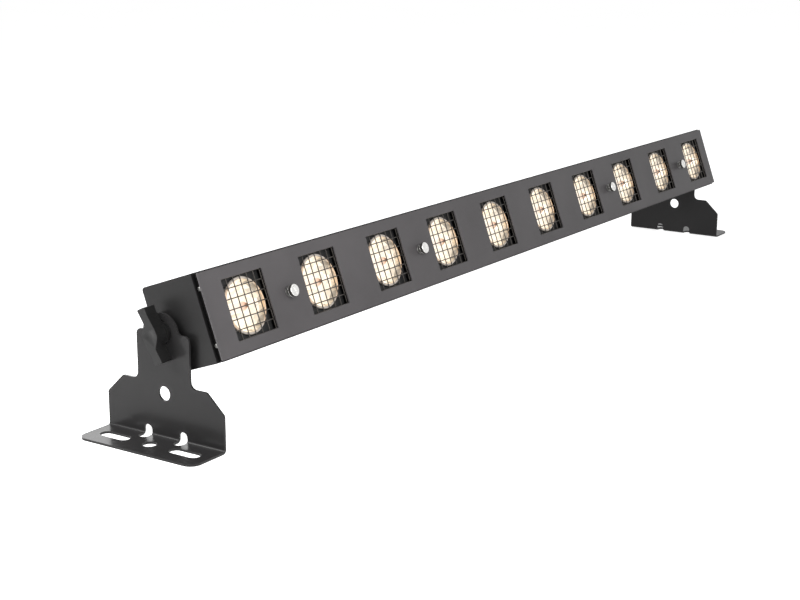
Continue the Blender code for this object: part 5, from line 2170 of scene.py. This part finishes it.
@dataclass
class FootBracket(Assembly):
    """Folded foot with a domed upright plate, a slotted flange and two arched notches across its bend."""

    side: Side
    inner_x: float = 0.5258
    sheet: float = 0.0020
    half_width: float = 0.0642
    side_height: float = 0.0325
    chamfer_run: float = 0.0180
    chamfer_rise: float = 0.0170
    neck_half_width: float = 0.0288
    shoulder_rise: float = 0.0003
    shoulder_corner: float = 0.0050
    dome_radius: float = 0.0167
    dome_steps: int = 32
    corner: float = 0.0035
    neck_fillet: float = 0.0060
    dome_fillet: float = 0.0045
    fillet_steps: int = 8
    bend: float = 0.0020
    bend_steps: int = 8
    flange: float = 0.0400
    flange_corner: float = 0.0100
    flange_steps: int = 12
    pivot_sides: int = 28
    clamp_radius: float = 0.0063
    clamp_height: float = 0.0407
    foot_radius: float = 0.0063
    hole_sides: int = 40
    slot_width: float = 0.0120
    slot_length: float = 0.0315
    slot_offset: float = 0.0385
    notch_width: float = 0.0094
    notch_offset: float = 0.0195
    notch_height: float = 0.0103
    notch_reach: float = 0.0100
    notch_steps: int = 14
    edge: float = 0.00035

    @property
    def outer_x(self) -> float:
        """Distance from the middle of the bar to the plate's outer face."""
        return self.inner_x + self.sheet

    @property
    def end_x(self) -> float:
        """Distance from the middle of the bar to the flange's far edge."""
        return self.outer_x + self.flange

    def face(self) -> list[Point]:
        """Outline of the upright plate in Y and Z, over the dome from one foot to the other.

        Returns:
            The outline's points.
        """
        lay = self.layout
        shoulder = lay.pivot_height + self.shoulder_rise
        lift = self.shoulder_rise + self.dome_fillet
        reach = math.sqrt((self.dome_radius + self.dome_fillet) ** 2 - lift**2)
        slope = math.degrees(math.atan2(lift, reach))
        step_width = self.half_width - self.chamfer_run
        step_height = self.side_height + self.chamfer_rise
        half = rounded(
            [
                (self.half_width, -lay.past, 0.0), (self.half_width, self.side_height, self.corner),
                (step_width, step_height, self.corner),
                (self.neck_half_width, step_height, self.neck_fillet),
                (self.neck_half_width, shoulder, self.shoulder_corner), (0.0, shoulder, 0.0),
                (0.0, -lay.past, 0.0),
            ]
        )[:-2]
        fillet = (reach, shoulder + self.dome_fillet)
        half += arc(fillet, self.dome_fillet, 270.0, 180.0 + slope, self.fillet_steps)
        dome = arc((0.0, lay.pivot_height), self.dome_radius, slope, 180.0 - slope, self.dome_steps)
        return half + dome[1:-1] + [(-y, z) for y, z in reversed(half)]

    def blank(self) -> Mesh:
        """The folded strip before its outline is cut.

        Returns:
            A closed mesh.
        """
        lay, sign = self.layout, self.side.value
        top = lay.pivot_height + self.dome_radius + lay.past
        section = [
            (self.inner_x, 0.0, self.bend + self.sheet), (self.end_x, 0.0, 0.0),
            (self.end_x, self.sheet, 0.0), (self.outer_x, self.sheet, self.bend),
            (self.outer_x, top, 0.0), (self.inner_x, top, 0.0),
        ]
        outline = rounded([(sign * x, z, radius) for x, z, radius in section], self.bend_steps)
        return extruded(outline, 2 * self.half_width + lay.past, Plane.XZ)

    def foot(self) -> Mesh:
        """Outline of the foot seen from above, as tall as the bracket.

        Returns:
            A closed mesh that the bracket is kept within.
        """
        lay, sign = self.layout, self.side.value
        near, far, half, round_off = self.inner_x - lay.past, self.end_x, self.half_width, self.flange_corner
        corners = ((near, -half, 0.0), (far, -half, round_off), (far, half, round_off), (near, half, 0.0))
        outline = rounded([(sign * x, y, radius) for x, y, radius in corners], self.flange_steps)
        return extruded(outline, 2 * (lay.pivot_height + self.dome_radius + lay.past), Plane.XY)

    def plate_holes(self) -> list[list[Point]]:
        """Outlines cut through the upright plate.

        Returns:
            The pivot hole, the clamp hole and the two arched notches.
        """
        lay = self.layout
        notch = self.notch_width / 2
        found = [
            circle((0.0, lay.pivot_height), lay.pivot_radius, self.pivot_sides),
            circle((0.0, self.clamp_height), self.clamp_radius, self.hole_sides),
        ]
        for way in BOTH_WAYS:
            y = way * self.notch_offset
            arch = arc((y, self.notch_height - notch), notch, 0.0, 180.0, self.notch_steps)
            found.append([(y - notch, -lay.past), (y + notch, -lay.past)] + arch)
        return found

    def flange_holes(self) -> list[list[Point]]:
        """Outlines cut through the flange.

        Returns:
            The round hole, and on either side of it the end of a notch and a slot.
        """
        sign = self.side.value
        notch = self.notch_width / 2
        middle_x = sign * (self.outer_x + self.flange / 2)
        found = [circle((middle_x, 0.0), self.foot_radius, self.hole_sides)]
        turn = 0.0 if self.side is Side.RIGHT else 180.0
        for way in BOTH_WAYS:
            y = way * self.notch_offset
            center = (sign * (self.outer_x + self.notch_reach - notch), y)
            tongue = arc(center, notch, turn - 90.0, turn + 90.0, self.notch_steps)
            tongue += [(sign * self.outer_x, y + sign * notch), (sign * self.outer_x, y - sign * notch)]
            found.append(tongue)
            found.append(slot_outline((middle_x, way * self.slot_offset), self.slot_length, self.slot_width))
        return found

    def pieces(self) -> list[Piece]:
        """Fold the bracket and cut it.

        Returns:
            The bracket.
        """
        lay, sign = self.layout, self.side.value
        near, far = self.inner_x - lay.past, self.end_x + lay.past
        face = extruded(self.face(), far - near, Plane.YZ, (sign * (near + far) / 2, 0.0, 0.0))
        cut = 2 * (self.sheet + self.bend)
        plate_middle = (sign * (self.inner_x + self.outer_x) / 2, 0.0, 0.0)
        plate = joined([extruded(hole, cut, Plane.YZ, plate_middle) for hole in self.plate_holes()])
        flange = joined([extruded(hole, cut, Plane.XY) for hole in self.flange_holes()])
        kept = ((Cut.WITHIN, face), (Cut.WITHIN, self.foot()))
        mesh = carved(self.blank(), *kept, (Cut.AWAY, plate), (Cut.AWAY, flange))
        word = self.side.word
        node = f"bracket_{word}"
        return [Piece(f"foot_{word}", mesh, Palette.BRACKET, node, (node,), edge=self.edge)]


@dataclass
class TiltKnob(Assembly):
    """Two-winged knob on the pivot axis, with a dished hub, a boss and a threaded stud."""

    side: Side
    half_outline: tuple[Triple, ...] = (
        (-0.0131, 0.0204, 0.0012), (-0.0050, 0.0243, 0.0012), (-0.0021, 0.0179, 0.0020),
        (0.0050, 0.0079, 0.0030), (0.0086, 0.0010, 0.0050), (0.0061, -0.0099, 0.0020),
    )
    wing_steps: int = 5
    thickness: float = 0.0120
    back_x: float = 0.5281
    boss: float = 0.0030
    boss_radius: float = 0.0100
    boss_sides: int = 40
    dish_radius: float = 0.0046
    dish_depth: float = 0.0008
    dish_curve: tuple[Point, ...] = ((0.0, 1.0), (0.7, 0.8), (1.0, 0.0))
    dish_sides: int = 32
    dish_past: float = 0.001
    stud_radius: float = 0.0040
    stud_tip_x: float = 0.5106
    stud_sides: int = 28
    edge: float = 0.0007
    edge_steps: int = 3

    def dish(self, face_x: float) -> Mesh:
        """The shallow dish in the hub.

        Args:
            face_x: Distance from the middle of the bar to the knob's outer face.

        Returns:
            A closed mesh to cut with.
        """
        radius, deep, out = self.dish_radius, self.dish_depth, face_x + self.dish_past
        profile = [(share * radius, face_x - sink * deep) for share, sink in self.dish_curve]
        profile += [(radius, out), (0.0, out)]
        return turned([(wide, self.side.value * x) for wide, x in profile], self.dish_sides, Axis.X)

    def pieces(self) -> list[Piece]:
        """Make the knob and its stud.

        Returns:
            Both pieces.
        """
        lay, sign = self.layout, self.side.value
        corners = [(sign * across, up, radius) for across, up, radius in self.half_outline]
        corners += [(-across, -up, radius) for across, up, radius in corners]
        wing_x = self.back_x + self.boss
        middle = (sign * (wing_x + self.thickness / 2), 0.0, 0.0)
        wings = extruded(rounded(corners, self.wing_steps), self.thickness, Plane.YZ, middle)
        start = (sign * self.back_x, 0.0, 0.0)
        boss = rod(start, sign * (self.boss + lay.overlap), self.boss_radius, Axis.X, self.boss_sides)
        mesh = carved(wings, (Cut.TOGETHER, boss), (Cut.AWAY, self.dish(wing_x + self.thickness)))
        reach = sign * (self.stud_tip_x - self.back_x)
        stud = rod(start, reach, self.stud_radius, Axis.X, self.stud_sides)
        word = self.side.word
        node = f"tilt_knob_{word}"
        return [
            Piece(f"knob_{word}", mesh, Palette.KNOB, node, (node,), lay.pivot, self.edge, self.edge_steps),
            Piece(f"stud_{word}", stud, Palette.NICKEL, node, frame=lay.pivot),
        ]


# Nodes that show as they are, and the studio


@dataclass
class CadDress(Assembly):
    """Finishes for the CAD nodes that show as they are."""

    def finishes(self) -> dict[str, Finish]:
        """Which finish each node gets.

        Returns:
            The finishes, by the nodes' names.
        """
        return {
            "lamp_carrier": Palette.CARRIER,
            **{f"friction_washer_{side.word}": Palette.RUBBER for side in Side},
            **{f"weld_nut_{side.word}": Palette.NICKEL for side in Side},
            "dimmer_board": Palette.BOARD,
            "supply_board": Palette.BOARD,
            "wiring_harness": Palette.RUBBER,
            **{f"lampholder_{number:02d}": Palette.CERAMIC for number in self.layout.lamps},
        }

    def build(self) -> list[Thing]:
        """Put each finish on its node.

        Returns:
            The nodes.
        """
        made = []
        for name, finish in self.finishes().items():
            node = frame["nodes"][name]
            node.data.materials.clear()
            node.data.materials.append(finish.material())
            made.append(node)
        return made


@dataclass(frozen=True)
class SoftBox:
    """A soft square lamp: where it hangs, the point that it faces, its watts and the length of its sides."""

    name: str
    place: Triple
    aim: Triple
    power: float
    size: float

    def hang(self) -> Thing:
        """Put the lamp in the scene.

        Returns:
            The lamp, which the camera doesn't see.
        """
        data = bpy.data.lights.new(self.name, "AREA")
        data.energy = self.power
        data.size = self.size
        item = linked(self.name, data)
        item.location = self.place
        item.rotation_euler = (Vector(self.aim) - Vector(self.place)).to_track_quat("-Z", "Y").to_euler()
        item.visible_camera = False
        return item


@dataclass
class Studio:
    """Floor, lamps, world and camera."""

    camera_place: Triple = (-1.4365, -0.8326, 0.4291)
    yaw: float = 56.686
    pitch: float = 14.156
    roll: float = 0.231
    focal_pixels: float = 1525.4
    picture_width: float = 800.0
    sensor: float = 36.0
    sight: float = 200.0
    world_fill: float = 0.36
    floor_size: float = 60.0
    floor_drop: float = 0.0002
    floor_clouds: float = 3.0
    floor_dark: Color = (0.86, 0.86, 0.86)
    floor_light: Color = (0.90, 0.90, 0.90)
    floor_roughness: float = 0.9
    floor_lift: float = 0.68
    lamps: tuple[SoftBox, ...] = (
        SoftBox("side_box", (-0.80, 0.22, 0.42), (-0.54, 0.0, 0.12), power=3.7, size=0.36),
        SoftBox("front_box", (-0.95, -1.05, 0.78), (-0.3, 0.0, 0.05), power=20.0, size=0.9),
        SoftBox("back_box", (0.8, 1.7, 0.9), (0.0, 0.0, 0.05), power=18.0, size=1.5),
    )

    def camera(self) -> Thing:
        """The camera at the photograph's angle.

        Returns:
            The camera.
        """
        data = bpy.data.cameras.new("camera")
        data.sensor_width = self.sensor
        data.lens = self.focal_pixels / self.picture_width * self.sensor
        data.clip_end = self.sight
        item = linked("camera", data)
        yaw, pitch, roll = (math.radians(angle) for angle in (self.yaw, self.pitch, self.roll))
        forward = Vector((math.sin(yaw) * math.cos(pitch), math.cos(yaw) * math.cos(pitch), -math.sin(pitch)))
        level = Vector((math.cos(yaw), -math.sin(yaw), 0.0))
        above = level.cross(forward)
        right = math.cos(roll) * level + math.sin(roll) * above
        up = math.cos(roll) * above - math.sin(roll) * level
        turn = Matrix((right, up, -forward)).transposed().to_4x4()
        item.matrix_world = Matrix.Translation(self.camera_place) @ turn
        bpy.context.scene.camera = item
        return item

    def world(self) -> None:
        """White to the camera and in reflections, a softer fill for everything else."""
        world = bpy.data.worlds.new("studio")
        bpy.context.scene.world = world
        nodes = Nodes(world)
        seen = nodes.seen_by(Ray.CAMERA, Ray.GLOSSY, Ray.TRANSMISSION)
        nodes.surface(Color=(*WHITE, 1.0), Strength=nodes.spread(seen, 0.0, 1.0, self.world_fill, 1.0))

    def floor(self) -> Thing:
        """A pale floor that stays white around the object and keeps its shadow.

        Returns:
            The floor.
        """
        half = self.floor_size / 2
        mesh = bpy.data.meshes.new("floor")
        corners = [(-half, -half, 0.0), (half, -half, 0.0), (half, half, 0.0), (-half, half, 0.0)]
        mesh.from_pydata(corners, [], [(0, 1, 2, 3)])
        item = linked("floor", mesh)
        item.location.z = -self.floor_drop
        material = bpy.data.materials.new("floor_card")
        nodes = Nodes(material)
        clouds = nodes.noise(self.floor_clouds)
        nodes.surface(
            Base_Color=nodes.shades(clouds, (0.0, self.floor_dark), (1.0, self.floor_light)),
            Roughness=self.floor_roughness,
            Specular_IOR_Level=0.0,
            Emission_Color=(*WHITE, 1.0),
            Emission_Strength=nodes.worked(Sum.TIMES, nodes.seen_by(Ray.CAMERA, Ray.GLOSSY), self.floor_lift),
        )
        mesh.materials.append(material)
        return item

    def build(self) -> list[Thing]:
        """Set up the whole studio.

        Returns:
            The camera, the floor and the lamps.
        """
        bpy.context.scene.view_settings.view_transform = "Standard"
        self.world()
        return [self.camera(), self.floor(), *(lamp.hang() for lamp in self.lamps)]


def main() -> None:
    """Build every sub-assembly and the studio, and report each piece."""
    logging.basicConfig(level=logging.INFO, format="%(message)s")
    layout = Layout.from_frame()
    assemblies = [
        Studio(),
        FrontPanel(layout),
        WireGuard(layout),
        LampBank(layout),
        ChannelShell(layout),
        *(EndCap(layout, side) for side in Side),
        *(FootBracket(layout, side) for side in Side),
        *(TiltKnob(layout, side) for side in Side),
        Thumbscrews(layout),
        CapScrews(layout),
        MainsSockets(layout),
        ControlSockets(layout),
        FusePost(layout),
        MenuPanel(layout),
        BoardScrews(layout),
        CadDress(layout),
    ]
    for assembly in assemblies:
        for item in assembly.build():
            LOG.info("%s: %s", type(assembly).__name__, item.name)
    bpy.context.view_layer.update()


if __name__ == "__main__":
    main()
